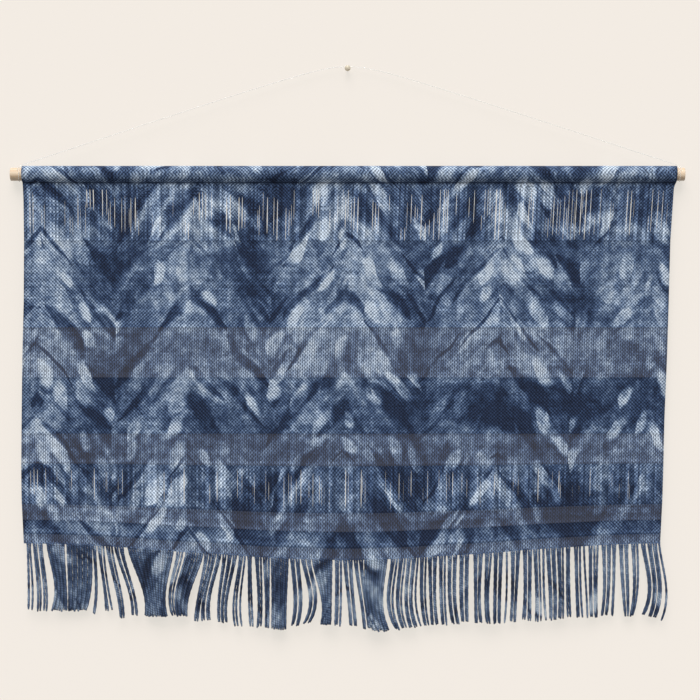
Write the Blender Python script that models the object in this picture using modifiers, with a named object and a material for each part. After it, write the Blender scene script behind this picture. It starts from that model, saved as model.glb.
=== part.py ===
"""Shibori dyed wall cloth, hung on a wooden rod by a thin cord over a nail.

One woven cloth, dark indigo with pale resist marks. Its top edge is turned over to the back and sewn
down as a sleeve, the rod runs through the sleeve, and the cord is tied round both ends of the rod.
The warp is left unwoven below the hem and hangs as a fringe.

Metres, +Z up. The wall is the plane y = 0, left out, and the cloth hangs in front of it, towards -Y.
The origin is where the nail enters the wall.
"""

import math
import random
from collections import namedtuple

import bmesh
import bpy
from mathutils import Vector

MM = 0.001
GAP = 0.3 * MM  # clearance between pieces that touch

# The rod, a sawn dowel along X
ROD_LENGTH = 674 * MM
ROD_RADIUS = 6.5 * MM
ROD_DROP = 106.3 * MM  # its axis below the nail
ROD_CHAMFER = 0.6 * MM
ROD_SIDES = 32
CHAMFER_SEGMENTS = 2
CHAMFER_ANGLE = math.radians(60)  # sharper edges than this are chamfered
SHARP_ANGLE = math.radians(40)  # sharper edges than this are shaded sharp

# The cloth
CLOTH_THICKNESS = 1.2 * MM
SLEEVE_EASE = 0.4 * MM  # between the rod and the cloth round it
SLEEVE_RADIUS = ROD_RADIUS + GAP + SLEEVE_EASE + CLOTH_THICKNESS / 2  # of its middle surface
SEAM_DROP = 9.3 * MM  # the sewn line below the rod's axis
SEAM_ALLOWANCE = 6 * MM  # the turned-over edge below the sewn line
LAYER_SPACING = CLOTH_THICKNESS + GAP
SLEEVE_PINCH_HEIGHT = 1.3 * MM  # above the sewn line, where the sleeve begins to open round the rod
SLEEVE_PINCH_OUT = 0.55 * LAYER_SPACING + 0.4 * MM  # its middle surface there, from the rod's axis
SLEEVE_WALL_GAP = 0.5 * MM
HEM_DROP = 369 * MM  # the hem below the rod's axis, at its corners
HEM_BOW = 16.3 * MM  # how much lower the hem hangs at its middle
BOW_START = 266 * MM  # the bow grows from here down
BOW_GROWTH = 1.2  # the power that it grows by
BOW_MIDDLE = 0.503  # the lowest point, as a share of the hem's length
BOW_SPAN = 0.885  # the share of half a cosine wave that the bow takes up
BOW_ROUNDNESS = 2.5  # the power that the wave is raised to
FLUTE_DEPTH = 3.6 * MM  # of the soft upright folds, at the hem
BELLY = 3.0 * MM  # how far the hem's middle stands forward

# The nail
NAIL_RADIUS = 1.2 * MM
NAIL_HEAD_RADIUS = 3.0 * MM
NAIL_HEAD_HEIGHT = 2.2 * MM
NAIL_STANDOFF = 9.5 * MM  # from the wall to the head's top
NAIL_IN_WALL = 16 * MM
NAIL_STEPS = 24
# The head's rounded top and rim, from its crown out: shares of its radius and of its height from the top
NAIL_CROWN = [(0.5, 0.13), (0.87, 0.5), (1.0, 0.85), (0.93, 1.0)]
NAIL_POINT_START = 0.8  # the share of its depth in the wall where its point begins

# The cord
CORD_RADIUS = 0.4 * MM
TIE_TURNS = 1.1  # round the rod at each end
TIE_PITCH = 1.7 * MM
TIE_POINTS = 14  # in one turn
TIE_LEFT_X = -327.6 * MM  # beside the sleeve's ends
TIE_RIGHT_X = 331.3 * MM
TIE_LEAVES = math.radians(118)  # where on the rod it turns up to the nail, from +Y over the top

# The fringe
YARN_PITCH = 2.6 * MM
YARN_RADIUS = 0.95 * MM  # to the corners of its three-sided section
YARN_LAYER = 0.85 * MM  # neighbours hang this far in front of and behind the fringe's middle
LOCK_CURL = 1.5 * MM  # how far a lock's loose ends may turn out of the cloth's plane
UNEVEN_ENDS = 1.0 * MM  # how much longer or shorter a yarn may be than its lock
YARN_STEPS = 5
BACKING_HEIGHT = 3 * MM
BACKING_THICKNESS = 1.8 * MM
YARN_SECTION_SIDES = 3
BELLY_AT = 0.55  # the share of a yarn's length where its belly is measured
LAYERS_PARTED = 0.25  # the share of its length where it has reached its layer
EARLY_POWER = 1.5  # how the sideways shift grows down a yarn: one term for the belly
LATE_POWER = 3  # and one for the end

# The cloth stands clear of the wall by its sleeve
ROD_Y = -(SLEEVE_RADIUS + CLOTH_THICKNESS / 2 + SLEEVE_WALL_GAP)
ROD_Z = -ROD_DROP

# The cord's way from the left tie over the nail to the right tie, in mm from the nail. out is how far it
# lies in front of the wall. It is stiff enough to pass over the nail in a round arch.
Place = namedtuple("Place", "across out below")
CORD_ROUTE = [
    Place(-326.6, 11.2, 98.1),
    Place(-325.0, 10.4, 96.9),
    Place(-318, 10.2, 94.6),
    Place(-290, 9.8, 85.3),
    Place(-240, 9.0, 68.7),
    Place(-170, 7.8, 45.6),
    Place(-110, 6.8, 26.0),
    Place(-65, 6.1, 11.9),
    Place(-35, 5.6, 3.4),
    Place(-15, 5.2, -0.8),
    Place(0, 5.0, -2.0),
    Place(15, 5.2, -0.8),
    Place(35, 5.6, 3.3),
    Place(65, 6.1, 11.7),
    Place(110, 6.8, 25.7),
    Place(170, 7.8, 45.0),
    Place(240, 9.0, 67.9),
    Place(290, 9.8, 84.3),
    Place(318, 10.2, 93.4),
    Place(328.7, 10.4, 96.9),
    Place(330.3, 11.2, 98.1),
]
ROUTE_SPANS = 2  # points for each stretch between two places

CLOTH_COLUMNS = 40
PANEL_ROWS = 14
SLEEVE_STEP = math.radians(22.5)
SLEEVE_OPEN = math.radians(25)  # half the angle that the round of the sleeve leaves open below the rod

# The side edges, in mm: how far below the rod's axis, and how far left and right of the middle
Edge = namedtuple("Edge", "below left right")
EDGES = [
    Edge(-8, 325.3, 329.0),
    Edge(8, 325.0, 328.4),
    Edge(13, 324.6, 326.3),
    Edge(26, 324.0, 325.4),
    Edge(66, 323.5, 322.7),
    Edge(126, 323.8, 321.1),
    Edge(186, 325.3, 319.3),
    Edge(246, 326.0, 316.8),
    Edge(296, 326.4, 315.7),
    Edge(326, 326.0, 314.8),
    Edge(369, 323.8, 312.6),
]

# The soft upright folds: how many across the cloth, their share of the depth, where each starts
Flute = namedtuple("Flute", "count share phase")
FLUTES = [Flute(3.4, 0.45, 0.4), Flute(6.1, 0.33, 2.1), Flute(8.3, 0.22, 4.4)]

# The locks that the fringe hangs in, left to right, in mm. root is the lock's middle at the hem, from the
# hem's left corner. belly and lean are its sideways shift halfway down and at the tips, pinch and gather
# its width there as a share of the width at the root, and reach is how far its tips lie below the rod.
Lock = namedtuple("Lock", "yarns root belly lean pinch gather reach")
LOCKS = [
    Lock(2, 4.9, 1.7, 1.5, 1.6, 1.6, 435.7),
    Lock(4, 13.7, 4.0, 4.6, 1.15, 1.2, 437.1),
    Lock(7, 31.5, 4.8, 4.0, 0.65, 0.93, 436.7),
    Lock(10, 55.5, 0.7, -2.0, 0.95, 0.73, 436.4),
    Lock(2, 70.5, 2.0, -0.5, 0.8, 0.8, 439.7),
    Lock(3, 77.0, 4.0, 8.0, 0.8, 1.3, 436.7),
    Lock(3, 85.5, 8.0, 13.0, 0.9, 0.7, 443.7),
    Lock(4, 95.0, 10.5, 16.0, 0.75, 0.75, 440.7),
    Lock(18, 127.0, 3.0, 5.5, 0.55, 0.5, 441.7),
    Lock(3, 156.5, -8.0, -6.5, 0.8, 0.6, 440.7),
    Lock(7, 171.0, -10.5, -12.4, 0.85, 0.55, 441.1),
    Lock(3, 184.0, -7.0, -12.0, 0.7, 0.6, 447.1),
    Lock(4, 192.9, -8.5, -10.5, 0.9, 1.1, 446.7),
    Lock(6, 205.9, -6.0, -7.0, 0.75, 0.7, 448.5),
    Lock(3, 218.6, -5.0, -4.0, 1.3, 1.4, 451.2),
    Lock(2, 225.9, 0.5, 2.0, 1.3, 1.3, 452.2),
    Lock(3, 234.5, 1.5, 0.5, 0.7, 0.8, 452.7),
    Lock(3, 242.5, 0.8, 0.5, 0.6, 0.6, 453.1),
    Lock(7, 256.0, -0.5, -1.0, 0.85, 0.85, 454.7),
    Lock(4, 271.1, 3.0, 0.0, 1.0, 0.9, 450.7),
    Lock(4, 282.0, 7.0, 0.8, 0.9, 0.9, 448.7),
    Lock(8, 298.3, 4.0, 3.5, 0.5, 0.5, 450.7),
    Lock(3, 314.5, 0.0, -1.0, 1.0, 1.0, 450.7),
    Lock(4, 324.0, 2.7, 5.5, 0.8, 0.9, 451.4),
    Lock(4, 334.5, 4.5, 8.5, 0.8, 0.9, 453.2),
    Lock(9, 352.0, -1.5, 5.0, 0.72, 0.74, 456.2),
    Lock(3, 370.5, -4.5, 3.0, 1.0, 0.8, 454.5),
    Lock(3, 378.5, -3.5, 2.0, 0.9, 0.8, 453.5),
    Lock(4, 387.6, -3.0, 2.0, 0.9, 1.0, 452.5),
    Lock(1, 394.1, -2.5, 3.0, 1.0, 1.0, 451.0),
    Lock(3, 399.5, -0.5, 3.3, 0.9, 0.85, 450.7),
    Lock(4, 408.7, 0.2, 2.3, 0.75, 0.9, 451.0),
    Lock(3, 418.5, 0.0, 2.0, 0.9, 0.9, 450.7),
    Lock(4, 428.7, -0.5, 3.3, 0.9, 0.97, 449.2),
    Lock(4, 440.5, -0.5, 0.6, 0.98, 0.8, 447.7),
    Lock(4, 454.1, -0.7, 0.5, 0.7, 0.9, 447.7),
    Lock(3, 464.3, -1.8, -0.3, 0.65, 0.75, 448.5),
    Lock(4, 474.3, -1.0, -1.3, 0.9, 0.85, 448.7),
    Lock(1, 482.7, -0.2, -2.4, 1.0, 1.0, 447.7),
    Lock(4, 491.5, -1.0, -2.5, 0.7, 0.7, 447.1),
    Lock(4, 503.5, 0.0, -1.0, 0.85, 1.1, 445.7),
    Lock(3, 512.7, 1.4, 1.4, 0.9, 1.1, 446.4),
    Lock(1, 519.5, 0.3, 2.5, 1.0, 1.0, 445.7),
    Lock(4, 526.7, 1.8, 2.0, 0.9, 0.8, 445.0),
    Lock(3, 536.1, 1.1, 0.8, 0.8, 0.9, 443.7),
    Lock(2, 544.0, 0.0, 1.0, 1.2, 1.4, 442.9),
    Lock(3, 553.3, 0.7, 2.2, 0.9, 1.1, 442.9),
    Lock(1, 560.0, 2.0, 3.5, 1.0, 1.0, 442.7),
    Lock(3, 568.0, 0.0, 1.0, 1.0, 1.0, 442.5),
    Lock(1, 573.9, -1.0, -0.7, 1.0, 1.0, 442.5),
    Lock(4, 582.7, 0.3, -2.3, 0.8, 0.8, 441.5),
    Lock(2, 590.5, -0.5, -2.2, 0.7, 0.7, 441.5),
    Lock(4, 600.0, 1.5, 3.0, 0.9, 0.5, 442.0),
    Lock(3, 611.0, 1.0, -3.6, 0.8, 0.5, 442.2),
    Lock(2, 619.5, 6.4, 0.0, 0.9, 0.8, 441.1),
    Lock(4, 628.5, 5.0, 0.0, 1.0, 0.9, 442.7),
    Lock(1, 635.4, 7.0, 2.2, 1.0, 1.0, 446.4),
]
FRINGE_SEED = 7


def clear_scene():
    for thing in list(bpy.data.objects):
        bpy.data.objects.remove(thing, do_unlink=True)


def collection(name):
    made = bpy.data.collections.new(name)
    bpy.context.scene.collection.children.link(made)
    return made


def material(name, colour, roughness, metallic=0.0):
    made = bpy.data.materials.new(name)
    made.use_nodes = True
    shader = made.node_tree.nodes["Principled BSDF"]
    shader.inputs["Base Color"].default_value = (*colour, 1.0)
    shader.inputs["Roughness"].default_value = roughness
    shader.inputs["Metallic"].default_value = metallic
    return made


def adopt(thing, into, finish):
    """Moves an object to a collection and gives it its material."""
    for home in list(thing.users_collection):
        home.objects.unlink(thing)
    into.objects.link(thing)
    thing.data.materials.clear()
    thing.data.materials.append(finish)
    return thing


def smooth_step(value):
    value = min(1.0, max(0.0, value))
    return value * value * (3 - 2 * value)


def side_edges(below):
    """The x of the cloth's left and right edge at a depth below the rod's axis."""
    below = min(max(below / MM, EDGES[0].below), EDGES[-1].below)
    for upper, lower in zip(EDGES, EDGES[1:]):
        if below <= lower.below:
            share = (below - upper.below) / (lower.below - upper.below)
            left = upper.left + share * (lower.left - upper.left)
            right = upper.right + share * (lower.right - upper.right)
            return -left * MM, right * MM
    return -EDGES[-1].left * MM, EDGES[-1].right * MM


def hem_bell(across):
    """1 at the middle of the hem, falling to 0 at its corners. across runs from 0 to 1."""
    return max(0.0, math.cos(math.pi * BOW_SPAN * (across - BOW_MIDDLE))) ** BOW_ROUNDNESS


def sagged(below, across):
    """The depth of a point of the panel once the hem's bow is added to its straight depth."""
    grown = max(0.0, below - BOW_START) / (HEM_DROP - BOW_START)
    return below + HEM_BOW * hem_bell(across) * grown**BOW_GROWTH


def panel_y(below, across):
    """How far the panel stands from the wall's plane, with its soft folds and its belly."""
    grown = smooth_step((below - SEAM_DROP) / (HEM_DROP - SEAM_DROP))
    waves = sum(f.share * math.sin(math.tau * f.count * across + f.phase) for f in FLUTES)
    return ROD_Y - LAYER_SPACING / 2 + grown * (FLUTE_DEPTH * waves - BELLY * hem_bell(across))


def panel_point(below, across):
    left, right = side_edges(below)
    return Vector((left + across * (right - left), panel_y(below, across), ROD_Z - sagged(below, across)))


def sleeve_section():
    """The cloth's middle line round the rod, from the seam up the front, over and down the back.

    Pairs of y and z from the rod's axis. The front is towards -Y.
    """
    line = [(-LAYER_SPACING / 2, -SEAM_DROP), (-SLEEVE_PINCH_OUT, -SEAM_DROP + SLEEVE_PINCH_HEIGHT)]
    turn = math.tau - 2 * SLEEVE_OPEN
    steps = round(turn / SLEEVE_STEP)
    for i in range(steps + 1):
        angle = -math.pi / 2 - SLEEVE_OPEN - turn * i / steps
        line.append((SLEEVE_RADIUS * math.cos(angle), SLEEVE_RADIUS * math.sin(angle)))
    line += [(-y, z) for y, z in reversed(line[:2])]
    line.append((LAYER_SPACING / 2, -SEAM_DROP - SEAM_ALLOWANCE))
    return line


def cloth_panel(into, finish):
    """The woven cloth: the panel from the hem up to the seam, and the sleeve round the rod."""
    section = sleeve_section()
    rows = PANEL_ROWS + len(section)
    bpy.ops.mesh.primitive_grid_add(x_subdivisions=CLOTH_COLUMNS, y_subdivisions=rows - 1, size=1)
    cloth = bpy.context.object
    cloth.name = "cloth_panel"
    for vertex in cloth.data.vertices:
        across = vertex.co.x + 0.5
        row = round((vertex.co.y + 0.5) * (rows - 1))
        if row < PANEL_ROWS:
            below = HEM_DROP + (SEAM_DROP - HEM_DROP) * row / PANEL_ROWS
            vertex.co = panel_point(below, across)
        else:
            y, z = section[row - PANEL_ROWS]
            left, right = side_edges(-z)
            vertex.co = (left + across * (right - left), ROD_Y + y, ROD_Z + z)
    cloth.data.shade_smooth()
    thick = cloth.modifiers.new("thickness", "SOLIDIFY")
    thick.thickness = CLOTH_THICKNESS
    thick.offset = 0
    thick.use_even_offset = True
    return adopt(cloth, into, finish)


def yarn_line(lock, number, layer, curl, extra):
    """The points down one yarn of the fringe, from inside its backing to the loose end.

    layer is how far it hangs behind the fringe's middle, curl how far its end turns back, and extra how
    much longer it is than its lock.
    """
    hem_left, hem_right = side_edges(HEM_DROP)
    spot = (number + 0.5 - lock.yarns / 2) * YARN_PITCH
    root_x = hem_left + lock.root * MM + spot
    across = (root_x - hem_left) / (hem_right - hem_left)
    halfway = lock.belly * MM + spot * (lock.pinch - 1)
    end = lock.lean * MM + spot * (lock.gather - 1)
    # The sideways shift is a sum of two powers of t, which meets both the belly and the lean
    early = (halfway - end * BELLY_AT**LATE_POWER) / (BELLY_AT**EARLY_POWER - BELLY_AT**LATE_POWER)
    late = end - early
    top = ROD_Z - sagged(HEM_DROP, across) - GAP - BACKING_HEIGHT / 2
    tip = ROD_Z - lock.reach * MM - extra
    line = []
    for step in range(YARN_STEPS + 1):
        t = step / YARN_STEPS
        x = root_x + early * t**EARLY_POWER + late * t**LATE_POWER
        y = panel_y(HEM_DROP, across) + layer * smooth_step(t / LAYERS_PARTED) + curl * t * t
        line.append(Vector((x, y, top + (tip - top) * t)))
    return line


def fringe_lines():
    """One line for each yarn, left to right. Neighbours hang in front of and behind each other in turn."""
    chance = random.Random(FRINGE_SEED)
    lines = []
    for lock in LOCKS:
        curl = chance.uniform(-LOCK_CURL, LOCK_CURL)
        for number in range(lock.yarns):
            layer = YARN_LAYER if len(lines) % 2 else -YARN_LAYER
            lines.append(yarn_line(lock, number, layer, curl, chance.uniform(-UNEVEN_ENDS, UNEVEN_ENDS)))
    return lines


def curve_of(lines, name):
    """A curve object of straight-stepped splines."""
    data = bpy.data.curves.new(name, "CURVE")
    data.dimensions = "3D"
    data.use_fill_caps = True
    for line in lines:
        spline = data.splines.new("POLY")
        spline.points.add(len(line) - 1)
        for point, place in zip(spline.points, line):
            point.co = (*place, 1.0)
    made = bpy.data.objects.new(name, data)
    bpy.context.scene.collection.objects.link(made)
    return made


def meshed(curve):
    """The curve as a mesh object with its caps welded."""
    bpy.context.view_layer.update()
    graph = bpy.context.evaluated_depsgraph_get()
    data = bpy.data.meshes.new_from_object(curve.evaluated_get(graph))
    work = bmesh.new()
    work.from_mesh(data)
    bmesh.ops.remove_doubles(work, verts=work.verts, dist=0.00001)
    bmesh.ops.recalc_face_normals(work, faces=work.faces)
    work.to_mesh(data)
    work.free()
    made = bpy.data.objects.new(curve.name + "_mesh", data)
    made.matrix_world = curve.matrix_world
    bpy.context.scene.collection.objects.link(made)
    bpy.data.objects.remove(curve)
    return made


def yarn_section():
    """The section of a yarn, as a closed curve with few sides."""
    data = bpy.data.curves.new("yarn_section", "CURVE")
    data.dimensions = "2D"
    spline = data.splines.new("POLY")
    spline.points.add(YARN_SECTION_SIDES - 1)
    spline.use_cyclic_u = True
    for i, point in enumerate(spline.points):
        angle = math.tau * i / YARN_SECTION_SIDES
        point.co = (YARN_RADIUS * math.cos(angle), YARN_RADIUS * math.sin(angle), 0.0, 1.0)
    made = bpy.data.objects.new("yarn_section", data)
    bpy.context.scene.collection.objects.link(made)
    return made


def warp_fringe(into, cutters, finish):
    """The unwoven warp ends, their roots fused into the narrow backing under the hem."""
    bpy.ops.mesh.primitive_grid_add(x_subdivisions=CLOTH_COLUMNS, y_subdivisions=1, size=1)
    backing = bpy.context.object
    backing.name = "warp_fringe"
    for vertex in backing.data.vertices:
        place = panel_point(HEM_DROP, vertex.co.x + 0.5)
        place.z -= GAP + (BACKING_HEIGHT if vertex.co.y < 0 else 0.0)
        vertex.co = place
    thick = backing.modifiers.new("thickness", "SOLIDIFY")
    thick.thickness = BACKING_THICKNESS
    thick.offset = 0
    section = yarn_section()
    curve = curve_of(fringe_lines(), "yarns")
    curve.data.bevel_mode = "OBJECT"
    curve.data.bevel_object = section
    yarns = adopt(meshed(curve), cutters, finish)
    bpy.data.objects.remove(section)
    yarns.display_type = "WIRE"
    yarns.hide_render = True
    join = backing.modifiers.new("yarns", "BOOLEAN")
    join.operation = "UNION"
    join.object = yarns
    return adopt(backing, into, finish)


def wooden_rod(into, finish):
    bpy.ops.mesh.primitive_cylinder_add(
        vertices=ROD_SIDES,
        radius=ROD_RADIUS,
        depth=ROD_LENGTH,
        location=(0.0, ROD_Y, ROD_Z),
        rotation=(0.0, math.pi / 2, 0.0),
    )
    rod = bpy.context.object
    rod.name = "wooden_rod"
    edge = rod.modifiers.new("sanded_edge", "BEVEL")
    edge.width = ROD_CHAMFER
    edge.segments = CHAMFER_SEGMENTS
    edge.limit_method = "ANGLE"
    edge.angle_limit = CHAMFER_ANGLE
    rod.data.shade_smooth()
    rod.data.set_sharp_from_angle(angle=SHARP_ANGLE)
    return adopt(rod, into, finish)


def wall_nail(into, finish):
    """A round-headed nail, turned about its own axis and then laid along Y, head towards the room."""
    under_head = NAIL_STANDOFF - NAIL_HEAD_HEIGHT
    outline = [(0.0, NAIL_STANDOFF)]
    for out, down in NAIL_CROWN:
        outline.append((out * NAIL_HEAD_RADIUS, NAIL_STANDOFF - down * NAIL_HEAD_HEIGHT))
    outline += [
        (NAIL_RADIUS, under_head),
        (NAIL_RADIUS, -NAIL_POINT_START * NAIL_IN_WALL),
        (0.0, -NAIL_IN_WALL),
    ]
    data = bpy.data.meshes.new("wall_nail")
    edges = [(i, i + 1) for i in range(len(outline) - 1)]
    data.from_pydata([(r, 0.0, z) for r, z in outline], edges, [])
    nail = bpy.data.objects.new("wall_nail", data)
    bpy.context.scene.collection.objects.link(nail)
    nail.rotation_euler = (math.pi / 2, 0.0, 0.0)
    turn = nail.modifiers.new("turned", "SCREW")
    turn.steps = NAIL_STEPS
    turn.render_steps = NAIL_STEPS
    turn.use_merge_vertices = True
    turn.merge_threshold = 0.00001
    return adopt(nail, into, finish)


def smooth_route(places, per_span):
    """Points on a Catmull-Rom curve through the route's own places."""
    ends = [places[0] * 2 - places[1], *places, places[-1] * 2 - places[-2]]
    line = []
    for p0, p1, p2, p3 in zip(ends, ends[1:], ends[2:], ends[3:]):
        for i in range(per_span):
            t = i / per_span
            line.append(
                0.5
                * (
                    2 * p1
                    + (p2 - p0) * t
                    + (2 * p0 - 5 * p1 + 4 * p2 - p3) * t * t
                    + (3 * p1 - p0 - 3 * p2 + p3) * t**3
                )
            )
    return line + [places[-1]]


def rod_tie(tie_x, outwards):
    """The cord's turn round the rod, from its tail to where it leaves for the nail."""
    wrap = ROD_RADIUS + GAP + CORD_RADIUS
    steps = round(TIE_TURNS * TIE_POINTS)
    line = []
    for step in range(steps + 1):
        left_to_go = TIE_TURNS * (1 - step / steps)
        angle = TIE_LEAVES + math.tau * left_to_go
        x = tie_x + outwards * TIE_PITCH * left_to_go
        line.append(Vector((x, ROD_Y + wrap * math.cos(angle), ROD_Z + wrap * math.sin(angle))))
    return line


def hanging_cord(into, finish):
    """One cord, tied round the rod's left end, over the nail, and tied round its right end."""
    route = [Vector((place.across, -place.out, -place.below)) * MM for place in CORD_ROUTE]
    left = rod_tie(TIE_LEFT_X, -1)
    right = rod_tie(TIE_RIGHT_X, 1)
    cord = curve_of([[*left, *smooth_route(route, ROUTE_SPANS), *reversed(right)]], "hanging_cord")
    cord.data.bevel_depth = CORD_RADIUS
    cord.data.bevel_resolution = 2
    return adopt(cord, into, finish)


def build():
    clear_scene()
    parts = collection("shibori_wall_cloth")
    cutters = collection("cutters")
    indigo = material("indigo_cotton", (0.085, 0.125, 0.205), 0.9)
    wood = material("pale_wood", (0.72, 0.55, 0.38), 0.6)
    brass = material("pale_brass", (0.70, 0.66, 0.54), 0.35, 1.0)
    nylon = material("clear_nylon", (0.86, 0.86, 0.83), 0.3)
    cloth_panel(parts, indigo)
    warp_fringe(parts, cutters, indigo)
    wooden_rod(parts, wood)
    wall_nail(parts, brass)
    hanging_cord(parts, nylon)


build()
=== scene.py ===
"""An indigo shibori cloth with a long warp fringe, hung on a wooden rod from a nail."""

import math
import random
from collections import namedtuple

import bpy
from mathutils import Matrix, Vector


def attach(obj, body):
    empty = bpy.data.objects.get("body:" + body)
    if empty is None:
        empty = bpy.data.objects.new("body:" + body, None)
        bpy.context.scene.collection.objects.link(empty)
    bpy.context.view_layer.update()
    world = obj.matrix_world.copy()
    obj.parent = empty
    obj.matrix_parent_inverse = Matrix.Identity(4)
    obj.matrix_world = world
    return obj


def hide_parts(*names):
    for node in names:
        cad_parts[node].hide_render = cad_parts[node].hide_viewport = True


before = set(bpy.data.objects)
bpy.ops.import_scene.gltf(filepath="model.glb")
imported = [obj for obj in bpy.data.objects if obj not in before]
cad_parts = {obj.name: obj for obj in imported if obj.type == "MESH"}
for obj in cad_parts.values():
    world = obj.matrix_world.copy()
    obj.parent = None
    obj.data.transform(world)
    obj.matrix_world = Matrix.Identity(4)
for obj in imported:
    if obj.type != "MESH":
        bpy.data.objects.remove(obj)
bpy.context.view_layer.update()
MM = 0.001

# The photographer stands straight in front of the cloth, level with its middle, with a long lens, so that
# the picture is about 700 mm wide at the cloth. The studio is one broad soft light above the camera and
# pale light from all round.
LENS_MM = 100
VIEW_WIDTH = 700 * MM
VIEW_X = 2.4 * MM
VIEW_Z = -282.1 * MM
CLOTH_FRONT_Y = -9.5 * MM
LIGHT_FROM_ABOVE = 0.82
LIGHT_FROM_BELOW = 0.22
LIGHT_FADES_OVER = 0.7  # up and down, as the sine of the height
SOFTBOX_POWER = 2.35
SOFTBOX_SPREAD = math.radians(38)
SOFTBOX_HEIGHT = math.radians(38)
SOFTBOX_ASIDE = math.radians(-8)

camera_data = bpy.data.cameras.new("camera")
camera_data.lens = LENS_MM
camera = bpy.data.objects.new("camera", camera_data)
bpy.context.scene.collection.objects.link(camera)
distance = VIEW_WIDTH * LENS_MM / camera_data.sensor_width
camera.location = (VIEW_X, CLOTH_FRONT_Y - distance, VIEW_Z)
camera.rotation_euler = (math.radians(90), 0, 0)
bpy.context.scene.camera = camera
bpy.context.scene.view_settings.view_transform = "Standard"

sky = bpy.data.worlds.new("studio")
sky.use_nodes = True
sky_tree = sky.node_tree
sky_way = sky_tree.nodes.new("ShaderNodeTexCoord")
sky_parts = sky_tree.nodes.new("ShaderNodeSeparateXYZ")
sky_tree.links.new(sky_way.outputs["Generated"], sky_parts.inputs[0])
sky_range = sky_tree.nodes.new("ShaderNodeMapRange")
sky_tree.links.new(sky_parts.outputs["Z"], sky_range.inputs["Value"])
sky_range.inputs["From Min"].default_value = -LIGHT_FADES_OVER
sky_range.inputs["From Max"].default_value = LIGHT_FADES_OVER
sky_range.inputs["To Min"].default_value = LIGHT_FROM_BELOW
sky_range.inputs["To Max"].default_value = LIGHT_FROM_ABOVE
sky_tree.links.new(sky_range.outputs[0], sky_tree.nodes["Background"].inputs["Strength"])
sky_tree.nodes["Background"].inputs["Color"].default_value = (1.0, 0.985, 0.965, 1)
bpy.context.scene.world = sky

softbox_data = bpy.data.lights.new("softbox", "SUN")
softbox_data.energy = SOFTBOX_POWER
softbox_data.angle = SOFTBOX_SPREAD
softbox_data.color = (1.0, 0.99, 0.97)
softbox = bpy.data.objects.new("softbox", softbox_data)
softbox.rotation_euler = (SOFTBOX_HEIGHT, 0, SOFTBOX_ASIDE)
bpy.context.scene.collection.objects.link(softbox)


# The room: a matt painted wall that the nail is driven into, and a pale floor well below. The wall can be
# looked through from behind, so that the cloth's back can be seen.
WALL_COLOUR = (0.245, 0.210, 0.195, 1)
WALL_GLOW = (0.652, 0.629, 0.580, 1)  # its share of the evenly lit room, in which the shadows are faint
FLOOR_COLOUR = (0.50, 0.47, 0.44, 1)
FLOOR_Z = -1.25
ROOM_WIDTH = 8.0
WALL_HEIGHT = 4.0


def node(tree, kind, values=(), **settings):
    """Adds a node. values maps its inputs, by name or number, to a number, a colour or a socket."""
    made = tree.nodes.new(kind)
    for name, value in settings.items():
        setattr(made, name, value)
    for key, value in dict(values).items():
        if isinstance(value, bpy.types.NodeSocket):
            tree.links.new(value, made.inputs[key])
        else:
            made.inputs[key].default_value = value
    return made


def calc(tree, operation, *values, clamp=False):
    return node(tree, "ShaderNodeMath", enumerate(values), operation=operation, use_clamp=clamp).outputs[0]


def blend(tree, amount, colour, other):
    """A mix of two colours, all of it the other where amount is 1."""
    return node(tree, "ShaderNodeMix", {0: amount, 6: colour, 7: other}, data_type="RGBA").outputs[2]


def bump(tree, shader, strength, distance, height):
    raised = node(tree, "ShaderNodeBump", {"Strength": strength, "Distance": distance, "Height": height})
    tree.links.new(raised.outputs[0], shader.inputs["Normal"])


def finish_of(name, **inputs):
    """A new material, its tree and its Principled shader, with the shader's plain values set."""
    made = bpy.data.materials.new(name)
    made.use_nodes = True
    shader = made.node_tree.nodes["Principled BSDF"]
    for key, value in inputs.items():
        shader.inputs[key.replace("_", " ")].default_value = value
    return made, made.node_tree, shader


def pick_only(*picked):
    """Selects these objects and no others, and makes the first one active."""
    bpy.ops.object.select_all(action="DESELECT")
    for each in picked:
        each.select_set(True)
    bpy.context.view_layer.objects.active = picked[0]


def room_side(name, location, rotation, size, colour):
    bpy.ops.mesh.primitive_plane_add(size=1, location=location, rotation=rotation)
    side = bpy.context.object
    side.name = name
    side.scale = (*size, 1)
    bpy.ops.object.transform_apply(location=True, rotation=True, scale=True)
    paint, tree, shader = finish_of(name, Base_Color=colour, Roughness=0.92, Specular_IOR_Level=0.2)
    side.data.materials.append(paint)
    return side, tree, shader


bpy.ops.object.select_all(action="DESELECT")
wall, wall_tree, wall_shader = room_side(
    "wall",
    (0, 0, FLOOR_Z + WALL_HEIGHT / 2),
    (math.radians(90), 0, 0),
    (ROOM_WIDTH, WALL_HEIGHT),
    WALL_COLOUR,
)
behind = node(wall_tree, "ShaderNodeNewGeometry")
clear = node(wall_tree, "ShaderNodeBsdfTransparent")
wall_shader.inputs["Emission Color"].default_value = WALL_GLOW
wall_shader.inputs["Emission Strength"].default_value = 1.0
both = node(
    wall_tree,
    "ShaderNodeMixShader",
    {0: behind.outputs["Backfacing"], 1: wall_shader.outputs[0], 2: clear.outputs[0]},
)
wall_tree.links.new(both.outputs[0], wall_tree.nodes["Material Output"].inputs["Surface"])
wall.visible_shadow = False
wall.visible_diffuse = False
floor = room_side(
    "floor", (0, -ROOM_WIDTH / 2, FLOOR_Z), (0, 0, 0), (ROOM_WIDTH, ROOM_WIDTH), FLOOR_COLOUR
)[0]
floor.visible_diffuse = False


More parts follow.
